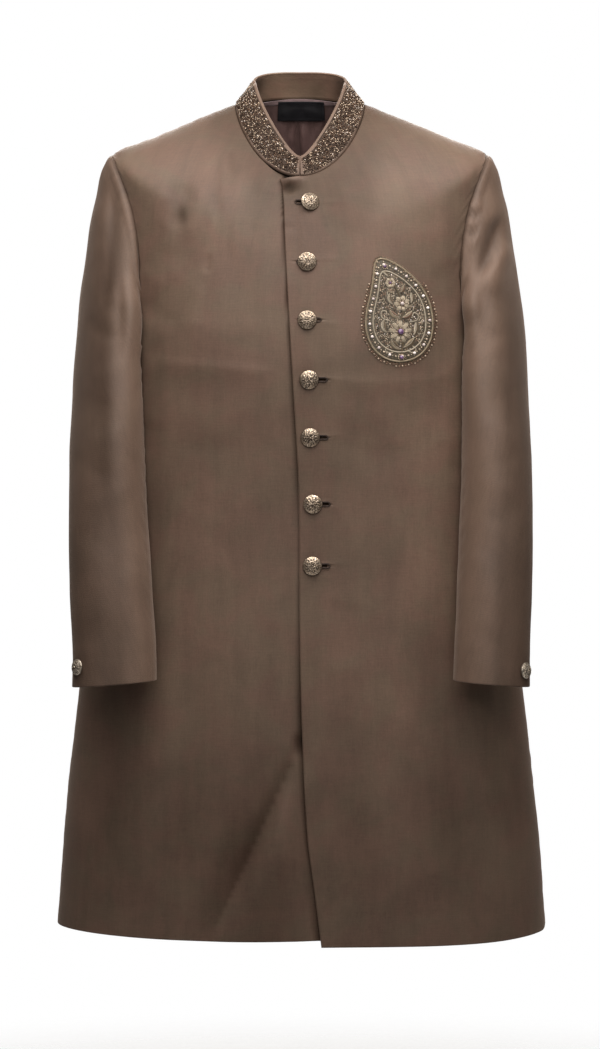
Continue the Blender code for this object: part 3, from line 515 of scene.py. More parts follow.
BACK_CREASES = (
    (((-62, -30), (-80, -80), (-90, -140)), 12.0, -1.1, 0.2),
    (((66, -34), (82, -86), (86, -136)), 12.0, -1.0, -0.2),
    (((-104, -52), (-128, -96), (-138, -150)), 12.0, 1.0, 0.1),
    (((108, -50), (126, -104), (132, -158)), 13.0, 1.0, 0.1),
    (((-190, -180), (-150, -206), (-104, -216)), 11.0, -1.2, 0.2),
    (((-188, -226), (-150, -250), (-112, -262)), 10.0, 1.0, 0.2),
    (((190, -176), (156, -200), (112, -214)), 11.0, 1.1, 0.2),
    (((190, -228), (152, -246), (108, -252)), 11.0, -1.0, 0.2),
    (((-196, -300), (-146, -330), (-90, -338)), 13.0, 1.1, 0.2),
    (((196, -306), (150, -328), (96, -332)), 13.0, -1.1, -0.1),
    (((-210, -372), (-160, -396), (-96, -402), (-40, -398)), 12.0, -1.5, 0.3),
    (((208, -380), (166, -404), (104, -414), (46, -408)), 12.0, -1.4, 0.3),
    (((-214, -420), (-168, -438), (-112, -436)), 11.0, 1.2, 0.1),
    (((216, -428), (172, -440), (118, -444)), 11.0, 1.3, 0.1),
    (((-150, -470), (-158, -600), (-176, -760), (-192, -940)), 24.0, 2.4, 0.2),
    (((-96, -500), (-104, -640), (-112, -800), (-128, -960)), 22.0, -2.2, 0.1),
    (((-44, -520), (-48, -660), (-56, -810), (-58, -950)), 20.0, 1.8, -0.2),
    (((50, -500), (54, -650), (60, -790), (70, -955)), 22.0, 2.0, 0.2),
    (((104, -480), (112, -640), (120, -790), (134, -950)), 22.0, -2.3, 0.1),
    (((152, -470), (166, -620), (180, -790), (196, -945)), 24.0, 2.3, 0.1),
    (((-206, -540), (-220, -690), (-236, -820), (-246, -950)), 20.0, -2.2, 0.1),
    (((208, -530), (222, -690), (238, -830), (248, -955)), 20.0, -2.1, 0.1),
    (((8, -560), (4, -700), (2, -860)), 18.0, -1.4, 0.2),
)

# On the sleeves, over (x from the middle toward the outer edge, z).
SLEEVE_FRONT = {
    "left": (
        (((242, -127), (236, -150), (224, -181), (206, -218)), 7.0, -7.2, 0.30),
        (((246, -158), (240, -178), (228, -206), (208, -236)), 10.0, 4.2, -0.2),
        (((198, -124), (208, -126), (217, -128)), 4.6, 3.2, 0.1),
        (((196, -134), (205, -137), (213, -139)), 4.4, -2.6, 0.1),
        (((196, -144), (204, -146), (211, -149)), 4.6, 2.6, 0.1),
        (((197, -156), (204, -158), (210, -161)), 4.4, -2.0, 0.1),
        (((197, -166), (204, -168), (210, -171)), 4.6, 1.8, 0.1),
        (((258, -176), (250, -214), (244, -262)), 9.0, -1.4, 0.2),
        (((196, -214), (202, -250), (204, -300)), 8.0, 1.2, 0.2),
        (((190, -196), (204, -226), (222, -252)), 9.0, 1.2, 0.2),
        (((198, -250), (216, -274), (240, -286)), 8.0, -1.3, 0.2),
        (((200, -292), (222, -318), (250, -326)), 9.0, 0.74, 0.1),
        (((262, -330), (240, -352), (212, -360)), 8.0, -0.74, -0.2),
        (((206, -372), (230, -392), (258, -396)), 8.5, 0.81, 0.2),
        (((264, -408), (240, -426), (212, -430)), 8.0, -0.87, 0.2),
        (((202, -440), (226, -456), (254, -458)), 8.0, 0.74, 0.1),
        (((262, -470), (238, -490), (208, -498)), 8.5, -0.68, 0.2),
        (((196, -520), (212, -560), (226, -606)), 10.0, 0.62, 0.1),
        (((250, -520), (244, -570), (240, -630)), 9.0, -0.62, 0.1),
        (((196, -612), (214, -632), (238, -640)), 8.0, -0.5, 0.2),
    ),
    "right": (
        (((228, -92), (222, -128), (221, -166), (224, -206), (230, -268)), 8.0, -3.9, 0.3),
        (((212, -96), (206, -130), (200, -170), (197, -216), (196, -270)), 7.0, 2.4, -0.2),
        (((240, -110), (242, -150), (244, -196)), 9.0, 1.3, 0.2),
        (((203, -118), (211, -124), (218, -130)), 3.6, 0.8, 0.1),
        (((188, -204), (206, -228), (226, -246)), 9.0, 1.1, 0.2),
        (((256, -250), (236, -274), (206, -284)), 8.5, -1.2, 0.2),
        (((198, -306), (222, -324), (250, -328)), 8.5, 0.68, 0.1),
        (((262, -344), (238, -362), (208, -366)), 8.0, -0.68, -0.2),
        (((198, -384), (222, -398), (252, -402)), 9.0, 0.74, 0.2),
        (((264, -416), (240, -436), (210, -444)), 8.0, -0.81, 0.2),
        (((194, -456), (220, -470), (250, -474)), 8.5, 0.68, 0.1),
        (((258, -500), (232, -520), (200, -528)), 9.0, -0.56, 0.2),
        (((188, -540), (204, -584), (218, -630)), 10.0, 0.62, 0.1),
        (((246, -560), (240, -600), (236, -650)), 9.0, -0.56, 0.1),
    ),
}
SLEEVE_BACK = {
    "left": (
        (((204, -110), (200, -150), (196, -190)), 9.0, 1.2, 0.2),
        (((222, -110), (220, -158), (214, -200)), 9.0, -1.2, 0.2),
        (((198, -230), (222, -256), (252, -262)), 9.0, -1.3, 0.2),
        (((260, -292), (236, -314), (206, -320)), 9.0, 1.3, 0.2),
        (((202, -350), (228, -368), (258, -370)), 8.0, -1.8, 0.2),
        (((262, -384), (236, -398), (204, -404)), 8.0, 1.7, 0.1),
        (((204, -420), (230, -432), (260, -430)), 8.0, -1.8, 0.1),
        (((260, -452), (232, -464), (202, -470)), 8.0, 1.4, 0.1),
        (((198, -500), (222, -520), (250, -524)), 9.0, -1.1, 0.2),
        (((240, -560), (236, -600), (232, -650)), 10.0, 1.0, 0.2),
    ),
    "right": (
        (((202, -114), (198, -150), (192, -196)), 9.0, -1.2, 0.2),
        (((220, -112), (218, -160), (210, -206)), 9.0, 1.1, 0.2),
        (((256, -236), (230, -258), (200, -268)), 9.0, -1.2, 0.2),
        (((202, -300), (228, -320), (258, -320)), 9.0, 1.3, 0.2),
        (((262, -346), (236, -364), (206, -372)), 8.0, -1.7, 0.2),
        (((204, -392), (230, -402), (260, -400)), 8.0, 1.6, 0.1),
        (((260, -424), (234, -440), (204, -444)), 8.0, -1.7, 0.1),
        (((200, -464), (226, -478), (256, -478)), 8.0, 1.3, 0.1),
        (((252, -510), (226, -530), (196, -534)), 9.0, -1.1, 0.2),
        (((220, -560), (218, -604), (214, -650)), 10.0, -1.0, 0.2),
    ),
}


def undulation(p, scale, height, seed):
    """Slow unevenness of hanging cloth."""
    flat = p.reshape(-1, 3) / scale + seed
    out = np.array([noise.noise(Vector(q)) for q in flat])
    return height * out.reshape(p.shape[:-1])


# ======================================================================
# Meshes
# ======================================================================
def mesh_object(name, verts, faces, mats, indices=None, smooth_shade=True, attrs=()):
    mesh = bpy.data.meshes.new(name)
    mesh.from_pydata([tuple(v) for v in verts], [], faces)
    for m in mats:
        mesh.materials.append(m)
    if indices is not None:
        mesh.polygons.foreach_set("material_index", indices)
    mesh.polygons.foreach_set("use_smooth", [smooth_shade] * len(mesh.polygons))
    for an, kind, values in attrs:
        a = mesh.attributes.new(an, kind, "POINT")
        key = {"FLOAT": "value", "FLOAT_VECTOR": "vector", "FLOAT_COLOR": "color"}[kind]
        a.data.foreach_set(key, np.asarray(values, np.float32).ravel())
    mesh.update()
    obj = bpy.data.objects.new(name, mesh)
    bpy.context.scene.collection.objects.link(obj)
    return obj


def edge_steps(length, step, fine=(0.0, 0.22, 0.62, 1.15, 1.9, 3.0), both=True, extra=()):
    """Positions 0..1 along a width of that length, closer together at the rims."""
    lines = set()
    n = max(2, int(round(length / step)))
    for i in range(n + 1):
        lines.add(length * i / n)
    inner = [x for x in lines if 1.2 * fine[-1] < x < length - 1.2 * fine[-1]]
    for e in extra:
        inner = [x for x in inner if not any(abs(x - q) < 1.3 for q in e)]
        inner += list(e)
    out = sorted(set(list(fine) + inner + [length - f for f in fine]))
    return [x / length for x in out]


def rounding(d, r):
    """How far a face has sunk toward the middle of the cloth, d from its rim."""
    q = np.clip(1 - d / r, 0, 1)
    return r * (1 - np.sqrt(np.clip(1 - q * q, 0, 1)))


def shell(name, outer_p, normal, rise, thick, mats, attrs, inner_index=1, holes=(), inner_attrs=None, rims=None,
          extra_rise_inner=0.0, face_index=None, seam_r=0.8):
    """Closed piece of cloth over a grid of points, with rounded rims.
    rims gives the distance of each grid point from the nearest rim."""
    rows, cols = outer_p.shape[:2]
    free, seam = rims if isinstance(rims, tuple) else (rims, None)
    sink = rounding(free, thick / 2) * 0.86
    if seam is not None:
        sink = np.maximum(sink, rounding(seam, seam_r) * 0.9)
    top = outer_p + normal * (rise - sink)[..., None]
    low = outer_p + normal * (rise + extra_rise_inner - thick + sink)[..., None]
    verts = np.concatenate([top.reshape(-1, 3), low.reshape(-1, 3)]) * MM
    n = rows * cols
    skip = set()
    for r0, r1, c0, c1 in holes:
        for i in range(r0, r1):
            for j in range(c0, c1):
                skip.add((i, j))
    faces, index = [], []
    for i in range(rows - 1):
        for j in range(cols - 1):
            if (i, j) in skip:
                continue
            a = i * cols + j
            faces.append((a, a + 1, a + cols + 1, a + cols))
            index.append(0 if face_index is None else int(face_index[0][i, j]))
            faces.append((n + a, n + a + cols, n + a + cols + 1, n + a + 1))
            index.append(inner_index if face_index is None else int(face_index[1][i, j]))

    def bridge(a, b):
        faces.append((a, n + a, n + b, b))
        index.append(0)

    for j in range(cols - 1):
        bridge(j, j + 1)
        bridge((rows - 1) * cols + j + 1, (rows - 1) * cols + j)
    for i in range(rows - 1):
        bridge((i + 1) * cols, i * cols)
        bridge(i * cols + cols - 1, (i + 1) * cols + cols - 1)
    for r0, r1, c0, c1 in holes:
        for j in range(c0, c1):
            bridge(r0 * cols + j + 1, r0 * cols + j)
            bridge(r1 * cols + j, r1 * cols + j + 1)
        for i in range(r0, r1):
            bridge(i * cols + c0, (i + 1) * cols + c0)
            bridge((i + 1) * cols + c1, i * cols + c1)
    both = []
    for an, kind, values in attrs:
        v = np.asarray(values, float).reshape(n, -1)
        both.append((an, kind, np.concatenate([v, v])))
    # leave out points that no face uses
    used = np.zeros(2 * n, bool)
    for f in faces:
        used[list(f)] = True
    if not used.all():
        new = np.cumsum(used) - 1
        faces = [tuple(int(new[q]) for q in f) for f in faces]
        verts = verts[used]
        both = [(an, kind, v[used]) for an, kind, v in both]
    obj = mesh_object(name, verts, faces, mats, index, True, both)
    bm_fix(obj)
    return obj


def bm_fix(obj):
    """Faces all look outward."""
    import bmesh
    bm = bmesh.new()
    bm.from_mesh(obj.data)
    bmesh.ops.recalc_face_normals(bm, faces=bm.faces)
    bm.to_mesh(obj.data)
    bm.free()


def arc_lengths(p, axis):
    d = np.linalg.norm(np.diff(p, axis=axis), axis=-1)
    z = np.zeros([1 if a == axis else n for a, n in enumerate(p.shape[:2])])
    return np.concatenate([z, np.cumsum(d, axis=axis)], axis=axis)


def rim_distances(p, free):
    """Distance of each grid point from the nearest free rim and the nearest
    seam, in mm. free names the free rims: left, right, top, low."""
    across, down = arc_lengths(p, 1), arc_lengths(p, 0)
    all_ = {"left": across, "right": across[:, -1:] - across, "top": down, "low": down[-1:, :] - down}
    far = np.full(across.shape, 1e3)
    a, b = far, far
    for name, d in all_.items():
        if name in free:
            a = np.minimum(a, d)
        else:
            b = np.minimum(b, d)
    return a, b, across, down


def relax(p, mask, reach):
    """Smooths a grid of points down its columns over that reach, by mask 0 to 1."""
    down = arc_lengths(p, 0)
    out = p.copy()
    h = 2.5
    k = np.arange(-int(3 * reach / h), int(3 * reach / h) + 1) * h
    w = np.exp(-(k / reach) ** 2 / 2)
    w /= w.sum()
    for j in range(p.shape[1]):
        s = np.arange(0, down[-1, j] + h, h)
        even = np.stack([np.interp(s, down[:, j], p[:, j, c]) for c in range(3)], 1)
        head = 2 * even[0] - even[len(k) // 2:0:-1]
        tail = 2 * even[-1] - even[-2:-2 - len(k) // 2:-1]
        long = np.concatenate([head, even, tail])
        soft = np.stack([np.convolve(long[:, c], w, "valid") for c in range(3)], 1)
        for c in range(3):
            q = np.interp(down[:, j], s, soft[:, c])
            out[:, j, c] += (q - p[:, j, c]) * mask[:, j]
    return out


# ======================================================================
# Materials
# ======================================================================
class Nodes:
    def __init__(self, name):
        self.mat = bpy.data.materials.new(name)
        self.mat.use_nodes = True
        self.tree = self.mat.node_tree
        self.bsdf = self.tree.nodes["Principled BSDF"]
        self.out = self.tree.nodes["Material Output"]

    def add(self, kind, props=(), **inputs):
        node = self.tree.nodes.new("ShaderNode" + kind)
        for k, v in dict(props).items():
            setattr(node, k, v)
        for k, v in inputs.items():
            sock = node.inputs[int(k[1:])] if k[0] == "i" and k[1:].isdigit() else node.inputs[k.replace("_", " ")]
            if isinstance(v, bpy.types.NodeSocket):
                self.tree.links.new(v, sock)
            else:
                sock.default_value = v
        return node

    def math(self, op, a, b=0.0, c=0.0, clamp=False):
        return self.add("Math", {"operation": op, "use_clamp": clamp}, i0=a, i1=b, i2=c).outputs[0]

    def set(self, **inputs):
        for k, v in inputs.items():
            sock = self.bsdf.inputs[k.replace("_", " ")]
            if isinstance(v, bpy.types.NodeSocket):
                self.tree.links.new(v, sock)
            else:
                sock.default_value = v

    def attribute(self, name):
        return self.add("Attribute", {"attribute_name": name, "attribute_type": "GEOMETRY"})

    def place(self):
        """Place on the object, in millimetres."""
        co = self.add("TexCoord").outputs["Object"]
        return self.add("VectorMath", {"operation": "SCALE"}, i0=co, Scale=1000.0).outputs[0]

    def noise(self, where, scale, detail=2.0, rough=0.5, distort=0.0):
        return self.add("TexNoise", {}, Vector=where, Scale=scale, Detail=detail, Roughness=rough,
                        Distortion=distort).outputs["Fac"]

    def ramp(self, fac, a, b, lo=0.0, hi=1.0):
        return self.add("MapRange", {"clamp": True, "interpolation_type": "SMOOTHSTEP"}, Value=fac,
                        From_Min=a, From_Max=b, To_Min=lo, To_Max=hi).outputs["Result"]

    def mix(self, fac, a, b, blend="MIX"):
        node = self.add("Mix", {"data_type": "RGBA", "blend_type": blend, "clamp_factor": True})
        for i, v in ((0, fac), (6, a), (7, b)):
            if isinstance(v, bpy.types.NodeSocket):
                self.tree.links.new(v, node.inputs[i])
            else:
                node.inputs[i].default_value = v if i == 0 else (*v, 1.0) if len(v) == 3 else v
        return node.outputs[2]

    def value(self, colour, factor):
        """Colour times a number."""
        return self.add("VectorMath", {"operation": "SCALE"}, i0=colour, Scale=factor).outputs[0]

    def bump(self, height, strength, distance, normal=None):
        node = self.add("Bump", {}, Strength=strength, Distance=distance, Height=height)
        if normal is not None:
            self.tree.links.new(normal, node.inputs["Normal"])
        return node.outputs["Normal"]


SUITING = (0.118, 0.0748, 0.0530)


def suiting(name, colour=SUITING, seed=0.0, warp=1.0, depth=1.0, sheen=0.22, rough=0.56, spec=0.28, hues=1.0):
    """Fine satin-faced wool suiting: a steep twill, slubs, slow mottling."""
    m = Nodes(name)
    grain = m.attribute("grain").outputs["Vector"]
    sep = m.add("SeparateXYZ", {}, Vector=grain)
    u, v = sep.outputs["X"], sep.outputs["Y"]
    place = m.place()
    shifted = m.add("VectorMath", {"operation": "ADD"}, i0=place, i1=(seed * 91.0, seed * 37.0, seed * 53.0)).outputs[0]

    # twill: steep diagonal ribs, crossed by finer picks
    wobble = m.noise(shifted, 0.09, 2.0)
    u2 = m.math("ADD", u, m.math("MULTIPLY", wobble, 2.4))
    rib = m.math("SINE", m.math("MULTIPLY", m.math("ADD", u2, m.math("MULTIPLY", v, 0.55)), 2 * math.pi / 0.95 * warp))
    pick = m.math("SINE", m.math("MULTIPLY", m.math("SUBTRACT", v, m.math("MULTIPLY", u2, 0.12)), 2 * math.pi / 0.72))
    weave = m.math("ADD", m.math("MULTIPLY", rib, 0.62), m.math("MULTIPLY", pick, 0.38))

    # yarn irregularities, long in the warp and short across
    slub_at = m.add("Mapping", {}, Vector=grain, Scale=(0.95, 0.055, 1.0)).outputs[0]
    slub = m.noise(slub_at, 1.0, 3.0, 0.6)
    weft_at = m.add("Mapping", {}, Vector=grain, Scale=(0.045, 0.80, 1.0)).outputs[0]
    weft = m.noise(weft_at, 1.0, 3.0, 0.6)
    nap = m.noise(shifted, 0.42, 4.0, 0.62)

    # slow mottling: a warmer and a greener brown, and a little light and dark
    patch = m.noise(shifted, 0.022, 4.0, 0.56, 0.7)
    cloud = m.noise(m.add("VectorMath", {"operation": "ADD"}, i0=shifted, i1=(211.0, 83.0, 17.0)).outputs[0],
                    0.013, 3.0, 0.55, 0.5)
    warm = tuple(c * (1 + hues * f) for c, f in zip(colour, (0.035, -0.025, -0.03)))
    cool = tuple(c * (1 + hues * f) for c, f in zip(colour, (-0.035, 0.01, -0.03)))
    base = m.mix(m.ramp(patch, 0.36, 0.64), cool, warm)
    light = m.math("ADD", m.ramp(cloud, 0.3, 0.7, 0.90, 1.10), m.ramp(nap, 0.25, 0.75, -0.07, 0.07))
    brushed = m.noise(m.add("Mapping", {}, Vector=grain, Scale=(0.075, 0.012, 1.0)).outputs[0], 1.0, 4.0, 0.6)
    light = m.math("ADD", light, m.ramp(brushed, 0.34, 0.66, -0.045, 0.045))
    light = m.math("ADD", light, m.ramp(slub, 0.3, 0.7, -0.045, 0.045))
    light = m.math("ADD", light, m.ramp(weft, 0.3, 0.7, -0.05, 0.05))
    light = m.math("ADD", light, m.math("MULTIPLY", weave, 0.07))
    # the tone attribute paints shade and light into the colour: darker creases, seams, gaps and skirt, lighter ridges,
    # with some random mottling on the collar
    light = m.math("MULTIPLY", light, m.attribute("tone").outputs["Fac"])
    m.set(Base_Color=m.value(base, light))
    m.set(Roughness=m.ramp(m.math("ADD", m.math("MULTIPLY", nap, 0.6), m.math("MULTIPLY", cloud, 0.4)), 0.3, 0.7,
                           rough - 0.05, rough + 0.07))
    # creases and seams in their own shade are duller too
    # painted shade: where the tone attribute darkens creases and seams, specular and sheen are lowered with it
    open_ = m.ramp(m.attribute("tone").outputs["Fac"], 0.35, 0.95, 0.15, 1.0)
    m.set(Specular_IOR_Level=m.math("MULTIPLY", open_, spec), Sheen_Weight=m.math("MULTIPLY", open_, sheen),
          Sheen_Roughness=0.42, Sheen_Tint=(0.86, 0.70, 0.60, 1.0))
    height = m.math("ADD", m.math("MULTIPLY", weave, 0.5), m.math("MULTIPLY", nap, 0.8))
    height = m.math("ADD", height, m.math("MULTIPLY", m.math("ADD", slub, weft), 0.9))
    m.set(Normal=m.bump(height, 0.34 * depth, 0.00022))
    return m.mat


def satin(name, colour, seed=0.0, rough=0.34, stripes=0.0):
    """Smooth lining satin, with fine floats and faint watered marks."""
    m = Nodes(name)
    grain = m.attribute("grain").outputs["Vector"]
    place = m.add("VectorMath", {"operation": "ADD"}, i0=m.place(), i1=(seed * 71.0, seed * 29.0, 0.0)).outputs[0]
    sep = m.add("SeparateXYZ", {}, Vector=grain)
    floats = m.math("SINE", m.math("MULTIPLY", sep.outputs["Y"], 2 * math.pi / 0.6))
    water = m.noise(m.add("Mapping", {}, Vector=place, Scale=(0.05, 0.05, 0.02)).outputs[0], 1.0, 4.0, 0.6, 1.2)
    fine = m.noise(m.add("Mapping", {}, Vector=grain, Scale=(0.12, 1.3, 1.0)).outputs[0], 1.0, 2.0)
    base = m.mix(m.ramp(water, 0.38, 0.62), tuple(c * f for c, f in zip(colour, (0.86, 0.84, 0.86))),
                 tuple(c * f for c, f in zip(colour, (1.16, 1.12, 1.16))))
    light = m.math("ADD", m.ramp(fine, 0.3, 0.7, 0.94, 1.06), m.math("MULTIPLY", floats, 0.03))
    # painted shade: the tone attribute darkens the satin along seams and creases
    light = m.math("MULTIPLY", light, m.attribute("tone").outputs["Fac"])
    m.set(Base_Color=m.value(base, light), Roughness=m.ramp(water, 0.3, 0.7, rough, rough + 0.1),
          Specular_IOR_Level=0.42, Anisotropic=0.35, Sheen_Weight=0.1, Sheen_Roughness=0.3)
    m.set(Normal=m.bump(m.math("ADD", m.math("MULTIPLY", floats, 0.4), fine), 0.3, 0.00012))
    return m.mat


def thread(name, colour, rough=0.55, metal=0.0, pitch=0.8):
    """Sewing or embroidery thread: twisted strands along grain's y."""
    m = Nodes(name)
    sep = m.add("SeparateXYZ", {}, Vector=m.attribute("grain").outputs["Vector"])
    twist = m.math("SINE", m.math("MULTIPLY", m.math("ADD", sep.outputs["Y"], sep.outputs["X"]), 2 * math.pi / pitch))
    fuzz = m.noise(m.place(), 1.3, 3.0, 0.6)
    light = m.math("ADD", m.ramp(fuzz, 0.25, 0.75, 0.82, 1.14), m.math("MULTIPLY", twist, 0.13))
    m.set(Base_Color=m.value(m.mix(m.ramp(fuzz, 0.3, 0.7), colour, tuple(c * 0.9 for c in colour)), light))
    m.set(Roughness=m.ramp(fuzz, 0.2, 0.8, rough - 0.06, rough + 0.08), Metallic=metal, Specular_IOR_Level=0.4)
    m.set(Normal=m.bump(m.math("ADD", twist, fuzz), 0.5, 0.00012))
    return m.mat


# ======================================================================
# The coat's cloth
# ======================================================================
def spread(surface, s0, s1, us, step, extra=()):
    """Row positions whose spacing on the cloth stays under step."""
    s = np.linspace(s0, s1, 901)
    pts = np.stack([surface(np.full_like(s, u), s) for u in us], 0)
    d = np.linalg.norm(np.diff(pts, axis=1), axis=-1).max(axis=0)
    run = np.concatenate([[0.0], np.cumsum(d)])
    lines = [[float(np.interp(q, s, run)) for q in e] for e in extra]
    return np.interp(np.array(edge_steps(run[-1], step, extra=lines)) * run[-1], run, s)


def grain_body(p, front):
    centre = np.where(front, -1.0, 1.0)
    y0 = np.where(front, -118.0, 104.0)
    u = np.sign(p[..., 0]) * (np.abs(p[..., 0]) + 0.72 * np.maximum(0, -centre * 0 + np.abs(p[..., 1] - y0)))
    return stack(u, -p[..., 2], 0 * u)


def seam_pucker(along, dist, reach, pitch, height, seed):
    """Small gathers that run out from a seam."""
    wob = np.sin(2 * np.pi * along / pitch + 1.7 * np.sin(along / (pitch * 2.3) + seed)) * (
        0.6 + 0.4 * np.sin(along / (pitch * 3.1) + 2.1 * seed))
    return height * wob * np.exp(-(dist / reach) ** 2)


STEP = 3.3
MATS = {}
for i, key in enumerate(("front_right", "front_left", "back", "sleeve_right_top", "sleeve_right_under",
                         "sleeve_left_top", "sleeve_left_under", "collar")):
    MATS[key] = suiting(key + "_cloth", seed=0.0 if i < 3 else i * 0.37, hues=1.0 if i < 3 else 0.2)
LINING_MAT = satin("lining_satin", (0.085, 0.052, 0.046), 1.0)


def slit_distance(x, z, bx):
    """Distance from a buttonhole's slit, as a box with round ends."""
    _, bz, x1, x2 = bx
    dx = np.maximum(0, np.maximum(x1 + SLIT_W / 2 - x, x - x2 + SLIT_W / 2))
    return np.hypot(dx, z - bz) - SLIT_W / 2


def front_panel(side):
    sign = 1 if side == "left" else -1

    def surface(u, v):
        height = col(BODY, FRONT, v)
        lap = at_key(LAP, height, 1)
        first = lap if sign > 0 else -(lap + UNDER_LAP)
        start = angle_at_x(v, first)
        end = edge_angle(v) - np.degrees(-0.25 / col(BODY, HALF_W, v)) * 1.2
        phi = start + (90.0 - start) * u - (90.0 - end) * u * u
        p = body(sign, v, phi)
        drop = p[..., 2] - height + 0.2 * np.abs(p[..., 0])
        v2 = v + np.where(phi < 0, drop / 15.5 * (1 - smooth(v / 3.0)), 0.0)
        return body(sign, v2, phi)

    def hemmed(u, v):
        near = smooth(v - HEM + 1)
        row = BODY[HEM - 1][FRONT] - BODY[HEM][FRONT]
        if side == "left":
            return surface(u, v + HEM_SAG / row * near * smooth(u / 0.6) * smooth((1 - u) / 0.14))
        return surface(u, v - HEM_STEP / row * near * (1 - u))

    extra = []
    if side == "left":
        for _, z, _, _ in BUTTONS:
            s = float(row_of(BODY, FRONT, z))
            per = float(row_of(BODY, FRONT, z - 1) - s)
            extra.append([s + per * q for q in (-3.4, -2.3, -1.7, -1.3, 0.0, 1.3, 1.7, 2.3, 3.4)])
    vs = spread(hemmed, NECK, HEM, (0.0, 0.5, 1.0), STEP, extra)
    us = np.array(edge_steps(300.0, STEP))
    U, V = np.meshgrid(us, vs)
    p = hemmed(U, V)
    free, seam, across, down = rim_distances(p, ("left", "top", "low"))
    inset = np.minimum(free, seam)
    p = relax(p, smooth((inset - 1) / 24.0) * smooth((V - 0.6) / 1.2) * smooth((12.5 - V) / 2.0), 17.0)
    normal = grid_normals(p, axis_points(p))
    rims = free
    x, z = p[..., 0], p[..., 2]

    creases = crease_field(x, z, FRONT_CREASES)
    rise = relief(side, x, z) + creases
    rise = rise + undulation(p, 70.0, 0.8, 3.1) + undulation(p, 26.0, 0.22, 9.7)
    # puckers from the side seam, the armhole and the shoulder seam
    far = across[:, -1:] - across
    rise = rise + seam_pucker(down, far, 13.0, 23.0, 0.32, 1.0 + sign)
    # the hem's turned-up depth shows as a very soft step
    hem_d = down[-1:, :] - down
    rise = rise + 0.30 * np.exp(-((hem_d - 3) / 12.0) ** 2) - 0.22 * np.exp(-((hem_d - 36) / 5.0) ** 2)
    if side == "left":                        # crisp front edge, a little thicker
        rise = rise + 0.35 * np.exp(-(across / 9.0) ** 2) - 0.18 * np.exp(-((across - 7.0) / 1.6) ** 2)
        for b in BUTTONS:
            d = np.hypot(x - b[0], (z - b[1]) * 0.9)
            rise = rise - 0.55 * np.exp(-(d / 12.0) ** 2)          # drawn in by the button
            sd = slit_distance(x, z, b)
            rise = rise + 0.42 * np.exp(-((sd - 0.9) / 0.9) ** 2)
            rims = np.where(sd < 3, np.minimum(rims, np.maximum(sd, 0)), rims)
        a = np.arctan2(z + 265, x)
        rise = rise + sum(0.28 * np.exp(-(((x - b[0] - 22) / 16) ** 2)) * np.exp(-((z - b[1] - 4.5 * math.sin(i * 2.2)) / 3.2) ** 2)
                          for i, b in enumerate(BUTTONS))
    else:
        lap = at_key(LAP, np.minimum(z, -96.0), 1)
        deep = 1 - smooth((lap - x - 2.0) / 26.0)
        rise = rise * (1 - deep) - (WALL_BODY + LAP_GAP) * deep
        rise = rise - 2.6 * smooth((-590 - z) / 160.0) * (1 - 0.8 * smooth((-757 - z) / 20.0)) * np.exp(
            -((x - lap + 5.0) / 7.0) ** 2)

    holes = []
    if side == "left":
        for b in BUTTONS:
            mid = int(np.argmin(np.abs(z[:, 3] - b[1])))
            r0, r1 = mid - 1, mid + 1
            c0, c1 = int(np.argmin(np.abs(x[mid] - b[2]))), int(np.argmin(np.abs(x[mid] - b[3])))
            holes.append((r0, r1, c0, c1))

    # inside: lining, but self cloth along the front edge and the hem
    rows, cols = p.shape[:2]
    inner = np.ones((rows, cols), int)
    inner[(across < 62)] = 0
    inner[(hem_d < 34)] = 0
    outer = np.zeros((rows, cols), int)

    # painted shade and light in tone: crease troughs darker and ridges lighter, rims and seams darker, and along the
    # armhole a dark seam line with a wider painted shadow
    tone = 1.0 + np.clip(0.045 * creases, -0.15, 0.09)
    tone = tone - 0.10 * np.exp(-(np.minimum(rims, seam) / 1.1) ** 2)
    arm = smooth((V - TIP + 0.4) / 0.6) * smooth((PIT + 0.3 - V) / 0.6)
    tone = tone - arm * (0.62 * np.exp(-(seam / 2.3) ** 2) + 0.10 * np.exp(-(seam / 9.0) ** 2))
    # painted shade: two dark spots on the wearer's right chest, where a soft dent's shade falls
    tone = tone - 0.36 * np.exp(-((x + 139 + (z + 131) * 0.16) / 6.5) ** 2 - ((z + 137) / 13.0) ** 2)
    tone = tone - 0.12 * np.exp(-((x + 150) / 6.0) ** 2 - ((z + 112) / 12.0) ** 2)
    # painted shade: darker toward the hem, darker just under the collar, and a broad darkening over the middle of the
    # chest
    tone = tone - 0.21 * smooth((-650 - z) / 240.0) - 0.34 * np.exp(-(down / 60.0) ** 2)
    tone = tone - 0.12 * np.exp(-((x + 10) / 80.0) ** 2 - ((z + 225) / 80.0) ** 2)
    if side == "left":
        # painted shade in the hollow under the over front's top corner, and a painted highlight on its lip
        tone = tone - 0.34 * np.exp(-(((x + 14) / 15.0) ** 2 + ((z + 106) / 7.5) ** 2)) + 0.34 * np.exp(
            -(((x + 6) / 11.0) ** 2 + ((z + 97.0) / 3.2) ** 2))
        tone = tone - 0.19 * np.exp(-(((x - 56) / 36.0) ** 2 + ((z + 138) / 38.0) ** 2))
        # painted light: the left body beside the sleeve is lightened against the sleeve's shadow
        tone = tone + 0.12 * smooth((x - 90) / 60.0) * smooth((-310 - z) / 60.0) * smooth((z + 660) / 60.0)
    else:
        # painted shadow: a dark line along the over front's edge that deepens lower down, a soft painted shadow beside
        # the right sleeve, and a dark spot in the gap at the lap's foot
        lap = at_key(LAP, np.minimum(z, -96.0), 1)
        low_part = smooth((-590 - z) / 160.0) * (1 - 0.8 * smooth((-757 - z) / 16.0))
        tone = tone - (0.56 + 0.28 * low_part) * smooth((x - lap + 3.2 + 3.4 * low_part) / 3.4)
        tone = tone - 0.20 * smooth((-x - 140) / 28.0) * smooth((-250 - z) / 60.0) * smooth((z + 690) / 60.0)
        tone = tone - 0.6 * np.exp(-((x - lap + 4.0) / 5.5) ** 2 - ((z + 750) / 9.0) ** 2)
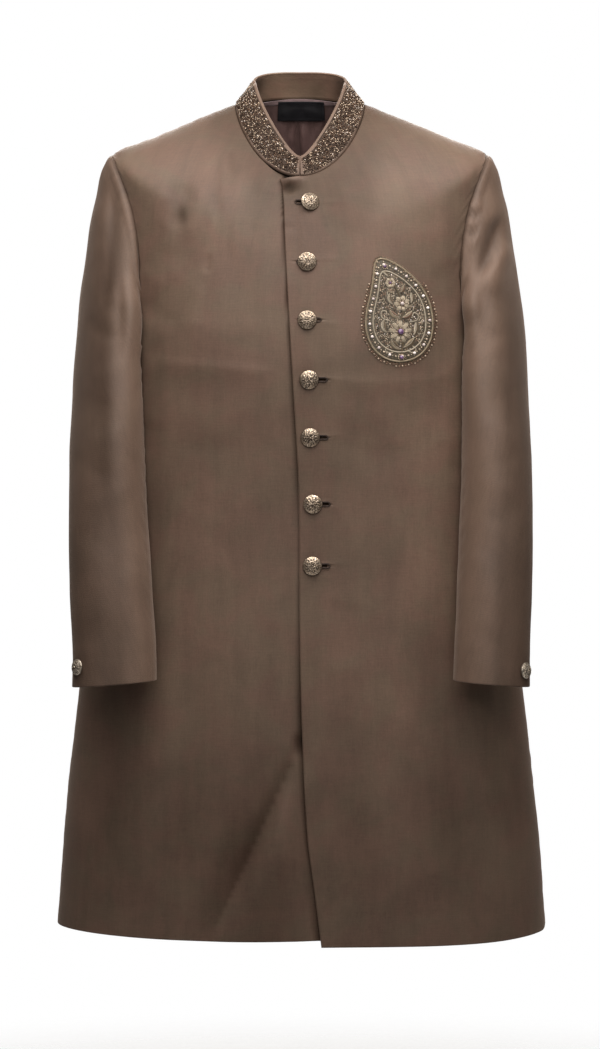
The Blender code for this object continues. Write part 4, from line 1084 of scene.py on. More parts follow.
        # the step of the skirt's fold: painted shade on its far side, painted light on its near one
        run = (-752 - z) / 190.0
        off = x - (3.0 - 88.0 * run)
        seen = smooth((run + 0.01) / 0.06) * smooth((1.32 - run) / 0.35)
        tone = tone - seen * np.where(off < 0, 0.17 * np.exp(-(off / 36.0) ** 2), 0.0) * smooth(-off / 2.0)
        tone = tone + seen * 0.07 * smooth(off / 2.0) * np.exp(-(off / 22.0) ** 2)
        # painted shade in the fold's trough low on the skirt
        tone = tone - 0.16 * smooth((-800 - z) / 90.0) * np.exp(-((x + 40) / 42.0) ** 2)
    grain = grain_body(p, True)
    name = "front_" + side + "_panel"
    obj = shell(name, p, normal, rise, WALL_BODY, [MATS["front_" + side], LINING_MAT],
                [("grain", "FLOAT_VECTOR", grain), ("tone", "FLOAT", tone)], holes=holes, rims=(rims, seam),
                face_index=(outer, inner))
    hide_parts("front_" + side)
    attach(obj, "root")
    return obj


def back_panel():
    def surface(u, v):
        end = edge_angle(v, True) - np.degrees(-0.25 / col(BODY, HALF_W, v)) * 1.2
        return body(1, v, 180 + 90.0 * u - (90.0 - end) * u * np.abs(u))

    vs = spread(surface, NECK, HEM, (0.0, 0.5, 1.0), 4.7)
    us = np.array(edge_steps(600.0, 4.7)) * 2 - 1
    U, V = np.meshgrid(us, vs)
    p = surface(U, V)
    free, seam_d, across, down = rim_distances(p, ("top", "low"))
    inset = np.minimum(free, seam_d)
    p = relax(p, smooth((inset - 1) / 24.0) * smooth((V - 0.6) / 1.2) * smooth((12.5 - V) / 2.0), 17.0)
    normal = grid_normals(p, axis_points(p))
    x, z = p[..., 0], p[..., 2]
    creases = crease_field(x, z, BACK_CREASES)
    rise = creases + undulation(p, 80.0, 1.1, 5.3) + undulation(p, 30.0, 0.25, 2.2)
    hem_d = down[-1:, :] - down
    rise = rise + 0.30 * np.exp(-((hem_d - 3) / 12.0) ** 2) - 0.22 * np.exp(-((hem_d - 36) / 5.0) ** 2)
    rise = rise + seam_pucker(down, np.minimum(across, across[:, -1:] - across), 13.0, 25.0, 0.32, 4.0)
    # centre back seam: a narrow sunk line between two soft lips
    seam = np.abs(x)
    rise = rise - 0.85 * np.exp(-(seam / 1.7) ** 2) + 0.28 * np.exp(-((seam - 5.0) / 3.2) ** 2)
    rise = rise + seam_pucker(down, seam, 15.0, 27.0, 0.25, 2.0)
    arm = smooth((V - TIP + 0.4) / 0.6) * smooth((PIT + 0.3 - V) / 0.6)
    # painted shade and light in tone: crease troughs darker and ridges lighter, rims darker, a dark line in the centre
    # back seam and along the armhole, and darker toward the hem
    tone = 1.0 + np.clip(0.03 * creases, -0.1, 0.08) - 0.10 * np.exp(-(inset / 1.1) ** 2)
    tone = tone - 0.22 * np.exp(-(seam / 1.3) ** 2) - arm * 0.45 * np.exp(-(seam_d / 1.5) ** 2)
    tone = tone - 0.15 * smooth((-650 - z) / 240.0)
    inner = np.ones(p.shape[:2], int)
    inner[hem_d < 34] = 0
    obj = shell("back_panel", p, normal, rise, WALL_BODY, [MATS["back"], LINING_MAT],
                [("grain", "FLOAT_VECTOR", grain_body(p, False)), ("tone", "FLOAT", tone)], rims=(free, seam_d),
                face_index=(np.zeros(p.shape[:2], int), inner))
    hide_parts("back")
    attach(obj, "root")
    return obj


def sleeve_panel(side, part):
    sign = 1 if side == "left" else -1
    gap = -0.008
    a, b = ((SEAM_HIND - 2 * ARM_KNOTS + gap, SEAM_FRONT - gap) if part == "top"
            else (SEAM_FRONT + gap, SEAM_HIND - gap))
    # columns spread evenly round the bicep
    ks = np.linspace(a, b, 801)
    around = sleeve(side, 2.0, ks)
    run = np.concatenate([[0.0], np.cumsum(np.linalg.norm(np.diff(around, axis=0), axis=1))])
    us = np.interp(np.array(edge_steps(run[-1], 3.6)) * run[-1], run, ks)
    vs = spread(lambda k, t: sleeve(side, t, k), 0.0, 7.0, (a, a + (b - a) * 0.35, a + (b - a) * 0.7, b), 3.9,
                [list(np.linspace(0.04, 0.8, 26))] if part == "top" else ())
    U, V = np.meshgrid(us, vs)
    p = sleeve(side, V, U)
    inside = sleeve_inside(side, p)
    normal = grid_normals(p, inside)
    free, seam, across, down = rim_distances(p, ("low",))
    x, z = np.abs(p[..., 0]), p[..., 2]
    mid_y = np.interp(-z, (0, 250, 300, 355, 425, 500, 575, 635, 684), (-4, -16, -29, -48, -71, -90, -109, -121, -129))
    front = smooth((mid_y - p[..., 1] + 14) / 28)
    creases = (crease_field(x, z, SLEEVE_FRONT[side]) * front + crease_field(x, z, SLEEVE_BACK[side]) * (1 - front))
    # the inner edge comes forward a little at the foot of the armhole
    inward = smooth(-normal[..., 0] * sign / 0.5) * smooth((0.35 - normal[..., 1]) / 0.35)
    if side == "left":
        push = 3.0 * np.exp(-((z + 238) / 30.0) ** 2) + 3.6 * np.exp(-((z + 251) / 20.0) ** 2)
    else:
        push = 9.6 * np.exp(-((z + 256) / np.where(z > -256, 34.0, 40.0)) ** 2)
    rise = creases + inward * front * push
    rise = rise + undulation(p, 55.0, 0.8, 7.7 * sign) + undulation(p, 22.0, 0.2, 1.9)
    # the outer edge: a little flatter below the head, a little fuller at the bicep
    outward = smooth(normal[..., 0] * sign / 0.6)
    if side == "left":
        rise = rise + outward * (2.7 * np.exp(-((z + 250) / 56.0) ** 2) - 2.3 * np.exp(-((z + 100) / 20.0) ** 2))
    else:
        rise = rise + outward * (1.1 * np.exp(-((z + 222) / 34.0) ** 2) - 1.7 * np.exp(-((z + 106) / 22.0) ** 2))
    # gathered fullness at the sleeve head, and small puckers along the seams
    cap = smooth((1.0 - V) / 0.75)
    rise = rise + 1.2 * cap * np.exp(-((down - 7.0) / 6.0) ** 2) - 0.25 * cap * np.exp(-((down - 16.0) / 5.0) ** 2)
    rise = rise + seam_pucker(across, down, 15.0, 15.0, 0.38, 3.0 + sign)
    rise = rise + seam_pucker(down, np.minimum(across, across[:, -1:] - across), 10.0, 21.0, 0.28, 5.0)
    cuff_d = down[-1:, :] - down
    rise = rise + 0.25 * np.exp(-((cuff_d - 2) / 9.0) ** 2) - 0.2 * np.exp(-((cuff_d - 32) / 4.5) ** 2)
    # painted shade and light in tone: crease troughs darker and ridges lighter, rims and seams darker, and the head
    # seam dark where it tucks under the body's edge
    tone = 1.0 + np.clip(0.05 * creases, -0.32, 0.14) - 0.10 * np.exp(-(np.minimum(free, seam) / 1.1) ** 2)
    tone = tone - 0.62 * smooth((1.0 - V) / 0.3) * np.exp(-(down / 3.4) ** 2)
    # painted shade: the outer half of each sleeve's front is darkened as if turned from the light, and the right one
    # gets a long painted shade streak by its fold
    if side == "right":
        from_x = 214 - 30 * smooth((-260 - z) / 330.0)
        tone = tone - front * (0.23 + 0.04 * smooth((-420 - z) / 180.0)) * smooth((x - from_x) / 24.0) * smooth((-92 - z) / 60.0)
    else:
        tone = tone - front * (0.25 + 0.08 * smooth((-380 - z) / 220.0)) * smooth((x - 224 + 16 * smooth((-330 - z) / 250.0)) / 24.0) * smooth((-190 - z) / 110.0)
    if side == "right":
        tone = tone - 0.25 * front * np.exp(-((x - 224) / 12.0) ** 2) * smooth((-130 - z) / 120.0) * smooth((z + 540) / 140.0)
    inner = np.ones(p.shape[:2], int)
    inner[cuff_d < 32] = 0
    name = "sleeve_%s_%s_panel" % (side, part)
    key = "sleeve_%s_%s" % (side, part)
    obj = shell(name, p, normal, rise, WALL_SLEEVE, [MATS[key], LINING_MAT],
                [("grain", "FLOAT_VECTOR", stack(across, down, 0 * down)), ("tone", "FLOAT", tone)], rims=(free, seam),
                face_index=(np.zeros(p.shape[:2], int), inner), seam_r=0.5)
    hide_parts(key)
    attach(obj, "root")
    return obj


front_left = front_panel("left")
front_right = front_panel("right")
back = back_panel()
for s_ in ("left", "right"):
    for part_ in ("top", "under"):
        sleeve_panel(s_, part_)


# ======================================================================
# Collar, its beading, the neck lining and the label
# ======================================================================
def ride(obj, node):
    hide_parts(node)
    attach(obj, "root")
    return obj


def neck_point(p):
    return stack(p[..., 0] * 0.35, 0 * p[..., 1] + 10.0, p[..., 2])


def beaded_ground():
    """Dark brown tissue under the beads, with fine gold thread showing."""
    m = Nodes("beaded_ground")
    place = m.place()
    grains = m.add("TexVoronoi", {}, Vector=place, Scale=0.62, Randomness=1.0)
    small = m.ramp(grains.outputs["Distance"], 0.18, 0.5, 1.0, 0.0)
    fine = m.noise(place, 0.9, 4.0, 0.65)
    base = m.mix(m.ramp(fine, 0.35, 0.68), (0.020, 0.012, 0.0085), (0.062, 0.039, 0.027))
    base = m.mix(m.math("MULTIPLY", small, m.ramp(fine, 0.42, 0.62)), base, (0.125, 0.088, 0.062))
    m.set(Base_Color=m.value(base, m.attribute("tone").outputs["Fac"]), Roughness=m.ramp(fine, 0.3, 0.7, 0.5, 0.7),
          Specular_IOR_Level=0.12)
    m.set(Normal=m.bump(m.math("ADD", small, fine), 0.7, 0.0005))
    return m.mat


def bead_material(name, colour, metal, rough, seed):
    """Glass-lined or metal beads, each one a little different."""
    m = Nodes(name)
    own = m.attribute("shade").outputs["Fac"]
    fine = m.noise(m.place(), 0.9 + seed * 0.1, 2.0)
    base = m.mix(own, tuple(c * 0.62 for c in colour), tuple(min(1.0, c * 1.25) for c in colour))
    m.set(Base_Color=m.value(base, m.ramp(fine, 0.3, 0.7, 0.8, 1.15)), Metallic=metal,
          Roughness=m.ramp(fine, 0.3, 0.7, rough, rough + 0.16), Specular_IOR_Level=0.25)
    m.set(Normal=m.bump(fine, 0.25, 0.0002))
    return m.mat


PALE_GOLD = bead_material("bead_pale_gold", (0.43, 0.33, 0.245), 0.8, 0.26, 1)
COPPER = bead_material("bead_copper", (0.135, 0.080, 0.052), 0.7, 0.28, 2)
PEARL = bead_material("bead_pearl", (0.62, 0.52, 0.45), 0.0, 0.24, 3)
DARK_BEAD = bead_material("bead_dark", (0.034, 0.019, 0.012), 0.4, 0.32, 4)


class Heap:
    """Many small closed bits gathered into one mesh."""

    def __init__(self):
        self.verts, self.faces, self.index, self.shade, self.grain = [], [], [], [], []
        self.n = 0

    def put(self, verts, faces, index, shade=0.5, grain=None):
        verts = np.asarray(verts, float)
        self.verts.append(verts)
        self.faces.extend(tuple(q + self.n for q in f) for f in faces)
        self.index.extend([index] * len(faces))
        self.shade.append(np.full(len(verts), shade))
        self.grain.append(np.zeros((len(verts), 3)) if grain is None else np.asarray(grain, float))
        self.n += len(verts)

    def build(self, name, mats, smooth_shade=True, fix=True):
        shade = np.concatenate(self.shade)
        obj = mesh_object(name, np.concatenate(self.verts) * MM, self.faces, mats, self.index, smooth_shade,
                          [("shade", "FLOAT", shade), ("tone", "FLOAT", np.ones_like(shade)),
                           ("grain", "FLOAT_VECTOR", np.concatenate(self.grain))])
        if fix:
            bm_fix(obj)
        return obj


def ball_shape(sides, rings):
    """Unit ball of few faces."""
    pts = [(0.0, 0.0, 1.0)]
    for r in range(1, rings + 1):
        a = math.pi * r / (rings + 1)
        for i in range(sides):
            b = math.tau * (i + 0.5 * (r % 2)) / sides
            pts.append((math.sin(a) * math.cos(b), math.sin(a) * math.sin(b), math.cos(a)))
    pts.append((0.0, 0.0, -1.0))
    last = len(pts) - 1
    faces = [(0, 1 + i, 1 + (i + 1) % sides) for i in range(sides)]
    for r in range(rings - 1):
        o, q = 1 + r * sides, 1 + (r + 1) * sides
        for i in range(sides):
            faces.append((o + i, q + i, q + (i + 1) % sides, o + (i + 1) % sides))
    o = 1 + (rings - 1) * sides
    faces += [(last, o + (i + 1) % sides, o + i) for i in range(sides)]
    return np.array(pts), faces


BALL6 = ball_shape(6, 3)
BALL8 = ball_shape(8, 5)


def frame_at(n, hint=(0.0, 0.0, 1.0)):
    n = np.asarray(n, float) / np.linalg.norm(n)
    t = np.asarray(hint, float) - n * np.dot(hint, n)
    if np.linalg.norm(t) < 1e-4:
        t = np.array((1.0, 0.0, 0.0)) - n * n[0]
    t = t / np.linalg.norm(t)
    return np.cross(t, n), t, n


def put_ball(heap, at, n, r, index, shade, flat=0.8, shape=BALL6, turn=0.0, long=1.0):
    a, b, c = frame_at(n)
    ca, sa = math.cos(turn), math.sin(turn)
    a, b = a * ca + b * sa, b * ca - a * sa
    pts = shape[0]
    v = np.asarray(at) + (pts[:, :1] * a * long + pts[:, 1:2] * b + pts[:, 2:] * c * flat) * r
    heap.put(v, shape[1], index, shade)


def collar_shell():
    end = float(angle_at_x(NECK, 0.5))
    probe = np.linspace(end, 360 - end, 1201)
    line = collar(probe, np.full_like(probe, 0.5))
    run = np.concatenate([[0.0], np.cumsum(np.linalg.norm(np.diff(line, axis=0), axis=1))])
    us = np.interp(np.array(edge_steps(run[-1], 3.0)) * run[-1], run, probe)
    vs = np.array(edge_steps(39.0, 2.6)) * 1.075 - 0.075
    U, V = np.meshgrid(us, vs)
    p = collar(U, V)
    normal = grid_normals(p, neck_point(p))
    free, seam, across, down = rim_distances(p, ("left", "right", "low"))
    edge = down[-1:, :] - down
    side = np.minimum(across, across[:, -1:] - across)
    # rows run from the neck seam up to the top edge
    rise = -0.9 * np.exp(-(down / 2.0) ** 2)
    rise = rise + 0.55 * np.exp(-((edge - 2.6) / 2.6) ** 2) - 0.35 * np.exp(-((edge - 6.4) / 0.8) ** 2)
    rise = rise + undulation(p, 40.0, 0.35, 12.3)
    rise = rise + seam_pucker(across, edge - 6, 4.0, 9.0, 0.16, 2.0)
    rise = rise + 0.5 * np.exp(-(side / 3.0) ** 2)
    inner_tone = undulation(p, 30.0, 0.5, 21.0) + undulation(p, 13.0, 0.25, 33.0)
    # painted shade and light in tone: a painted shadow along the collar's foot, a painted highlight on the rolled top
    # edge, painted shade in the seam below it, and random mottling
    tone = 1.0 - 0.55 * np.exp(-(down / 2.2) ** 2) + 0.08 * np.exp(-((edge - 2.5) / 3.0) ** 2)
    tone = tone - 0.22 * np.exp(-((edge - 5.4) / 0.8) ** 2) + inner_tone * 0.34
    top = 0.835 + 0.07 * np.sin(np.radians(np.minimum(U, 360 - U))) ** 2
    band = (V > 0.035) & (V < top) & (side > 4.0)
    # the inside of the back is unevenly lit: dull toward its ends, a paler place left of the middle
    cx = p[..., 0]
    uneven = 0.20 * np.exp(-((cx + 14) / 20.0) ** 2) - 0.42 * smooth((np.abs(cx) - 36) / 20.0) + inner_tone * 0.45
    # outside the bead band the collar's foot gets more painted shadow
    tone = np.where(band, 1.0 + uneven * smooth((p[..., 1] + 4) / 14.0), tone - 0.40 * smooth((0.06 - V) / 0.03))
    outer = np.where(band, 2, 0)
    obj = shell("collar_stand", p, normal, rise, WALL_COLLAR, [MATS["collar"], COLLAR_INSIDE_PAINTED_LIGHT, beaded_ground()],
                [("grain", "FLOAT_VECTOR", stack(across, down, 0 * down)), ("tone", "FLOAT", tone)],
                rims=(free, np.minimum(seam, 1e3)), face_index=(outer, np.ones(p.shape[:2], int)))
    return ride(obj, "collar"), run[-1]


def collar_beads():
    """Beads sewn at random over the stand, close but not touching."""
    rng = random.Random(41)
    end = float(angle_at_x(NECK, 4.6))
    probe = np.linspace(end, 360 - end, 1201)
    line = collar(probe, np.full_like(probe, 0.45))
    run = np.concatenate([[0.0], np.cumsum(np.linalg.norm(np.diff(line, axis=0), axis=1))])
    kept, cells = [], {}
    for _ in range(34000):
        if len(kept) >= 2900:
            break
        q = rng.random() * run[-1]
        turn = math.sin(math.radians(float(np.interp(q, run, probe)) % 360)) ** 2
        v = 0.055 + rng.random() * (0.765 + 0.07 * turn)
        r = min(1.15, max(0.5, rng.gauss(0.74, 0.17)))
        h = v * 35.5
        key = (int(q / 3), int(h / 3))
        near = [o for i in (-1, 0, 1) for j in (-1, 0, 1) for o in cells.get((key[0] + i, key[1] + j), ())]
        if any(math.hypot(q - o[0], h - o[1]) < (r + o[2]) * 0.97 for o in near):
            continue
        cells.setdefault(key, []).append((q, h, r))
        kept.append((q, v, r))
    q, v, r = (np.array(c) for c in zip(*kept))
    theta = np.interp(q, run, probe)
    p = collar(theta, v)
    e = 0.15
    n = unit(np.cross(collar(theta + e, v) - collar(theta - e, v), collar(theta, v + 0.01) - collar(theta, v - 0.01)))
    n = n * np.sign(dot(n, p - neck_point(p)))[..., None]
    heap = Heap()
    for i in range(len(kept)):
        pick = rng.random()
        more = 0.68 + 0.80 * math.sin(math.radians(float(theta[i]))) ** 2
        index = 0 if pick < 0.29 * more else 1 if pick < 0.54 * more else 2 if pick < 0.60 * more else 3
        lift = r[i] * 0.45 + 0.1
        tilt = n[i] + np.array((rng.gauss(0, .12), rng.gauss(0, .12), rng.gauss(0, .12)))
        put_ball(heap, p[i] + n[i] * lift, tilt, r[i], index, rng.random(), 0.72, BALL6,
                 rng.random() * 6.28, 1.0 + rng.random() * 0.35)
    return ride(heap.build("collar_beadwork", [PALE_GOLD, COPPER, PEARL, DARK_BEAD], fix=False), "collar_beading")


NECK_LINING_CREASES = (
    (((-2.5, 2.0), (-2.0, -30.0), (-1.0, -72.0)), 2.4, -1.7, 0.4),
    (((3.0, 0.0), (4.0, -34.0), (5.5, -74.0)), 3.4, 1.5, -0.3),
    (((-9.0, -8.0), (-10.0, -40.0), (-13.0, -75.0)), 4.0, 0.8, 0.2),
    (((30.0, 6.0), (24.0, -30.0), (14.0, -74.0)), 4.0, 1.3, 0.5),
    (((-34.0, 6.0), (-26.0, -28.0), (-17.0, -70.0)), 4.4, 1.4, -0.5),
    (((-46.0, 2.0), (-38.0, -36.0), (-30.0, -76.0)), 3.2, -1.0, 0.3),
    (((42.0, 2.0), (36.0, -34.0), (27.0, -74.0)), 3.2, -1.1, -0.3),
    (((-62.0, -6.0), (-56.0, -44.0), (-46.0, -78.0)), 5.0, 0.9, 0.0),
    (((58.0, -4.0), (54.0, -40.0), (44.0, -78.0)), 5.0, 1.0, 0.0),
)


def neck_lining():
    def surface(u, v):
        return body(1, v, 180 - angle_at_x(v, u))

    vs = spread(surface, 0.0, 5.0, (-LINING_W / 2, 0.0, LINING_W / 2), 2.2)
    us = np.array(edge_steps(LINING_W, 1.9)) * LINING_W - LINING_W / 2
    U, V = np.meshgrid(us, vs)
    p = surface(U, V)
    normal = grid_normals(p, axis_points(p))
    free, seam, across, down = rim_distances(p, ("left", "right", "top", "low"))
    x, z = p[..., 0], p[..., 2]
    near = smooth(free / 6.0)
    creases = -1.9 * crease_field(x, z, NECK_LINING_CREASES)          # they stand inward
    rise = -(WALL_BODY + LINING_GAP - 0.4) + (creases + undulation(p, 26.0, 0.5, 3.3)) * near
    # a facing strip of self cloth along the neck seam
    rise = rise - 0.5 * smooth((6.6 - down) / 0.8)
    inner = np.where(down < 6.4, 2, 1)
    # painted shade: dark lines along the strip's seam and at the neck seam under the collar
    tone = 1.0 - 0.45 * np.exp(-((down - 6.6) / 0.9) ** 2) - 0.4 * np.exp(-(down / 1.2) ** 2)
    obj = shell("neck_lining_cloth", p, normal, rise, WALL_LINING, [LINING_MAT, NECK_SATIN, PALE_STRIP_PAINTED_LIGHT_MAT],
                [("grain", "FLOAT_VECTOR", stack(across, down, 0 * down)), ("tone", "FLOAT", tone)],
                rims=(free, seam), face_index=(np.zeros(p.shape[:2], int), inner))
    return ride(obj, "neck_lining")


def label_piece():
    """A woven label with nothing on it, and a border."""
    x1, x2, z1, z2 = LABEL
    us, vs = np.array(edge_steps(59.0, 1.0)), np.array(edge_steps(22.0, 0.9))
    U, V = np.meshgrid(us, vs)
    x, z = x1 + (x2 - x1) * U, z1 + (z2 - z1) * V
    p, normal = spot(x, z, True)
    free, seam, across, down = rim_distances(p, ("left", "right", "top", "low"))
    deep = WALL_BODY + LINING_GAP + WALL_LINING + 1.6
    rise = -deep - 0.22 * np.exp(-((free - 1.7) / 0.6) ** 2) + undulation(p, 14.0, 0.35, 8.0)
    tone = 1.0 + 0.5 * np.exp(-((free - 1.7) / 0.55) ** 2)
    obj = shell("label_cloth", p, normal, rise, 0.6, [LABEL_MAT, LABEL_MAT],
                [("grain", "FLOAT_VECTOR", stack(across, down, 0 * down)), ("tone", "FLOAT", tone)],
                rims=(free, seam))
    return ride(obj, "neck_label")


# painted light: the collar's inside is a paler copy of the same suiting, standing in for light it does not get
COLLAR_INSIDE_PAINTED_LIGHT = suiting("collar_inside_cloth_painted_light", tuple(c * 1.5 for c in SUITING), 2.3, rough=0.42, spec=0.45)
NECK_SATIN = satin("neck_satin", (0.095, 0.058, 0.052), 2.0, 0.32)
# the neck strip's own paler mauve, raised further as painted light against the shade it sits in
PALE_STRIP_PAINTED_LIGHT_MAT = satin("neck_strip_pale_painted_light", (0.33, 0.235, 0.23), 3.0, 0.42)
LABEL_MAT = satin("label_black", (0.0065, 0.0060, 0.0075), 4.0, 0.45)
collar_obj, COLLAR_RUN = collar_shell()
beads_obj = collar_beads()
lining_obj = neck_lining()
label_obj = label_piece()


# ======================================================================
# Buttons and buttonholes
# ======================================================================
def antique(name, colour, seed):
    """Cast metal, pale gold where it is rubbed and brown in its hollows."""
    m = Nodes(name)
    own = m.attribute("shade").outputs["Fac"]
    place = m.add("VectorMath", {"operation": "ADD"}, i0=m.place(), i1=(seed * 17.0, 0.0, seed * 9.0)).outputs[0]
    fine = m.noise(place, 1.1, 3.0, 0.6)
    worn = m.noise(place, 0.32, 3.0, 0.6)
    bright = m.mix(m.ramp(worn, 0.35, 0.65), colour, tuple(c * f for c, f in zip(colour, (0.80, 0.76, 0.70))))
    base = m.mix(own, (0.040, 0.024, 0.015), bright)
    m.set(Base_Color=m.value(base, m.ramp(fine, 0.3, 0.7, 0.85, 1.12)),
          Metallic=m.ramp(own, 0.1, 0.7, 0.35, 0.92),
          Roughness=m.ramp(m.math("ADD", m.math("MULTIPLY", fine, 0.5), m.math("MULTIPLY", worn, 0.5)), 0.3, 0.7,
                           0.27, 0.46))
    m.set(Normal=m.bump(m.math("ADD", fine, worn), 0.35, 0.00025))
    return m.mat


METAL = antique("button_metal", (0.57, 0.465, 0.365), 1.0)
# painted light: the cuff buttons get a paler copy of the button metal, for the light their side-turned faces miss
CUFF_METAL_PAINTED_LIGHT = antique("cuff_button_metal_painted_light", (0.86, 0.76, 0.64), 3.0)
HOLE_THREAD = thread("buttonhole_thread", (0.045, 0.027, 0.020), 0.6, 0.0, 0.6)
SEW_THREAD = thread("sewing_thread", (0.072, 0.046, 0.034), 0.6, 0.0, 0.6)

DOME = ((0.00, 0.50), (0.30, 0.48), (0.55, 0.41), (0.76, 0.29), (0.90, 0.17), (1.00, 0.13))


def button_piece(name, node, place, across, shank, seed):
    """A cast button: rope rim, a ring of petals and dots, a flower in the middle."""
    rng = random.Random(seed)
    r = across / 2
    turns, rings = 72, 24
    heap = Heap()
    verts, faces, shade = [(0.0, 0.0, DOME[0][1] * r + 0.35)], [], [0.9]
    spin = rng.random() * 6.28

    def emboss(q, a):
        """Height in mm and how bright the metal is there."""
        a = a + spin
        petals = 0.5 + 0.5 * math.cos(13 * a + 6.0 * q)
        tiny = 0.5 + 0.5 * math.cos(7 * a + 1.0)
        h = 0.0
        h += 0.34 * petals * math.exp(-((q - 0.60) / 0.12) ** 2)
        h += 0.30 * tiny * math.exp(-((q - 0.25) / 0.09) ** 2)
        h += 0.35 * math.exp(-((q - 0.42) / 0.035) ** 2)
        h += 0.30 * math.exp(-((q - 0.79) / 0.035) ** 2)
        h += (0.40 + 0.22 * math.cos(26 * a + 5.0 * q)) * math.exp(-((q - 0.91) / 0.055) ** 2)
        h += 0.16 * math.cos(14 * a + 9 * q) * math.exp(-((q - 0.70) / 0.06) ** 2)
        h += 0.42 * noise.noise(Vector((math.cos(a) * q * 8.5, math.sin(a) * q * 8.5, seed * 3.1)))
        h += 0.16 * noise.noise(Vector((math.cos(a) * q * 19, math.sin(a) * q * 19, seed * 7.7)))
        return h

    for k in range(1, rings + 1):
        q = k / rings
        base = float(np.interp(q, [d[0] for d in DOME], [d[1] for d in DOME])) * r
        edge = 1.0 - 0.03 * max(0.0, (q - 0.94) / 0.06)
        for i in range(turns):
            a = math.tau * i / turns
            h = emboss(q, a) * (1.0 if q < 0.985 else 0.4)
            verts.append((math.cos(a) * r * q * edge, math.sin(a) * r * q * edge, base + h - 0.25))
            shade.append(min(1.0, max(0.0, (h - 0.02) / 0.34)))
    low = ((0.99, 0.08), (0.94, 0.0), (0.30, -0.02), (0.22, -shank / r))
    for q, z in low:
        for i in range(turns):
            a = math.tau * i / turns
            verts.append((math.cos(a) * r * q, math.sin(a) * r * q, z * r))
            shade.append(0.12)
    verts.append((0.0, 0.0, -shank))
    shade.append(0.1)
    for i in range(turns):
        j = (i + 1) % turns
        faces.append((0, 1 + i, 1 + j))
        for k in range(rings + len(low) - 1):
            o, q = 1 + k * turns, 1 + (k + 1) * turns
            faces.append((o + i, q + i, q + j, o + j))
        o = 1 + (rings + len(low) - 1) * turns
        faces.append((o + i, len(verts) - 1, o + j))
    m = np.array(place)
    local = np.array(verts)
    heap.put(local @ m[:3, :3].T + m[:3, 3], faces, 0, 0.5)
    heap.shade[-1] = np.array(shade)
    # granules between the petals
    spots = [(0.0, 0.0, 0.95)]
    spots += [(0.34, math.tau * i / 8 + spin, 0.42) for i in range(8)]
    spots += [(0.58, math.tau * (i + 0.5) / 13 - spin, 0.44) for i in range(13)]
    spots += [(0.735, math.tau * i / 19 - spin, 0.38) for i in range(19)]
    for q, a, size in spots:
        base = float(np.interp(q, [d[0] for d in DOME], [d[1] for d in DOME])) * r
        c = np.array((math.cos(a) * q * r, math.sin(a) * q * r, base - 0.02))
        n = np.array((math.cos(a) * q * 0.8, math.sin(a) * q * 0.8, 1.0))
        put_ball(heap, m[:3, :3] @ c + m[:3, 3], m[:3, :3] @ n, size * (0.9 + 0.2 * rng.random()), 0,
                 0.75 + 0.25 * rng.random(), 0.8)
    return ride(heap.build(name, [CUFF_METAL_PAINTED_LIGHT if name.startswith("cuff") else METAL]), node)


def placed(point, normal, lift, tilt=(0.0, 0.0, 0.0)):
    z = np.asarray(normal, float) + np.asarray(tilt)
    z = z / np.linalg.norm(z)
    x = np.array((1.0, 0, 0)) if abs(z[0]) < 0.9 else np.array((0, 1.0, 0))
    x = x - z * np.dot(x, z)
    x = x / np.linalg.norm(x)
    m = np.eye(4)
    m[:3, 0], m[:3, 1], m[:3, 2] = x, np.cross(z, x), z
    m[:3, 3] = np.asarray(point) + np.asarray(normal) * lift
    return m


def on_front(x, z):
    """Points and normals of the over front's own surface, folds included."""
    x, z = np.asarray(x, float), np.asarray(z, float)
    p, n = spot(x, z)
    return p + n * (relief("left", x, z) + crease_field(x, z, FRONT_CREASES))[..., None], n


def stitch(heap, a, b, width, up, index, shade, n, lift=0.0):
    """A short closed strand from a to b that bows up along n."""
    a, b, n = np.asarray(a, float), np.asarray(b, float), np.asarray(n, float)
    d = b - a
    size = np.linalg.norm(d)
    d = d / size
    s = np.cross(n, d)
    s = s / np.linalg.norm(s)
    pts, grain = [], []
    for t, w, h in ((0.0, 0.45, -0.5), (0.16, 0.95, 0.55), (0.5, 1.0, 1.0), (0.84, 0.95, 0.55), (1.0, 0.45, -0.5)):
        c = a + d * size * t + n * (lift + up * h)
        for sx, sz in ((1, 0.0), (0, 0.8), (-1, 0.0), (0, -0.8)):
            pts.append(c + s * sx * width / 2 * w + n * sz * width / 2)
            grain.append((sx * width / 2, size * t, 0.0))
    faces = [(0, 1, 2, 3), (19, 18, 17, 16)]
    for k in range(4):
        for i in range(4):
            j = (i + 1) % 4
            faces.append((k * 4 + i, (k + 1) * 4 + i, (k + 1) * 4 + j, k * 4 + j))
    heap.put(pts, faces, index, shade, grain)


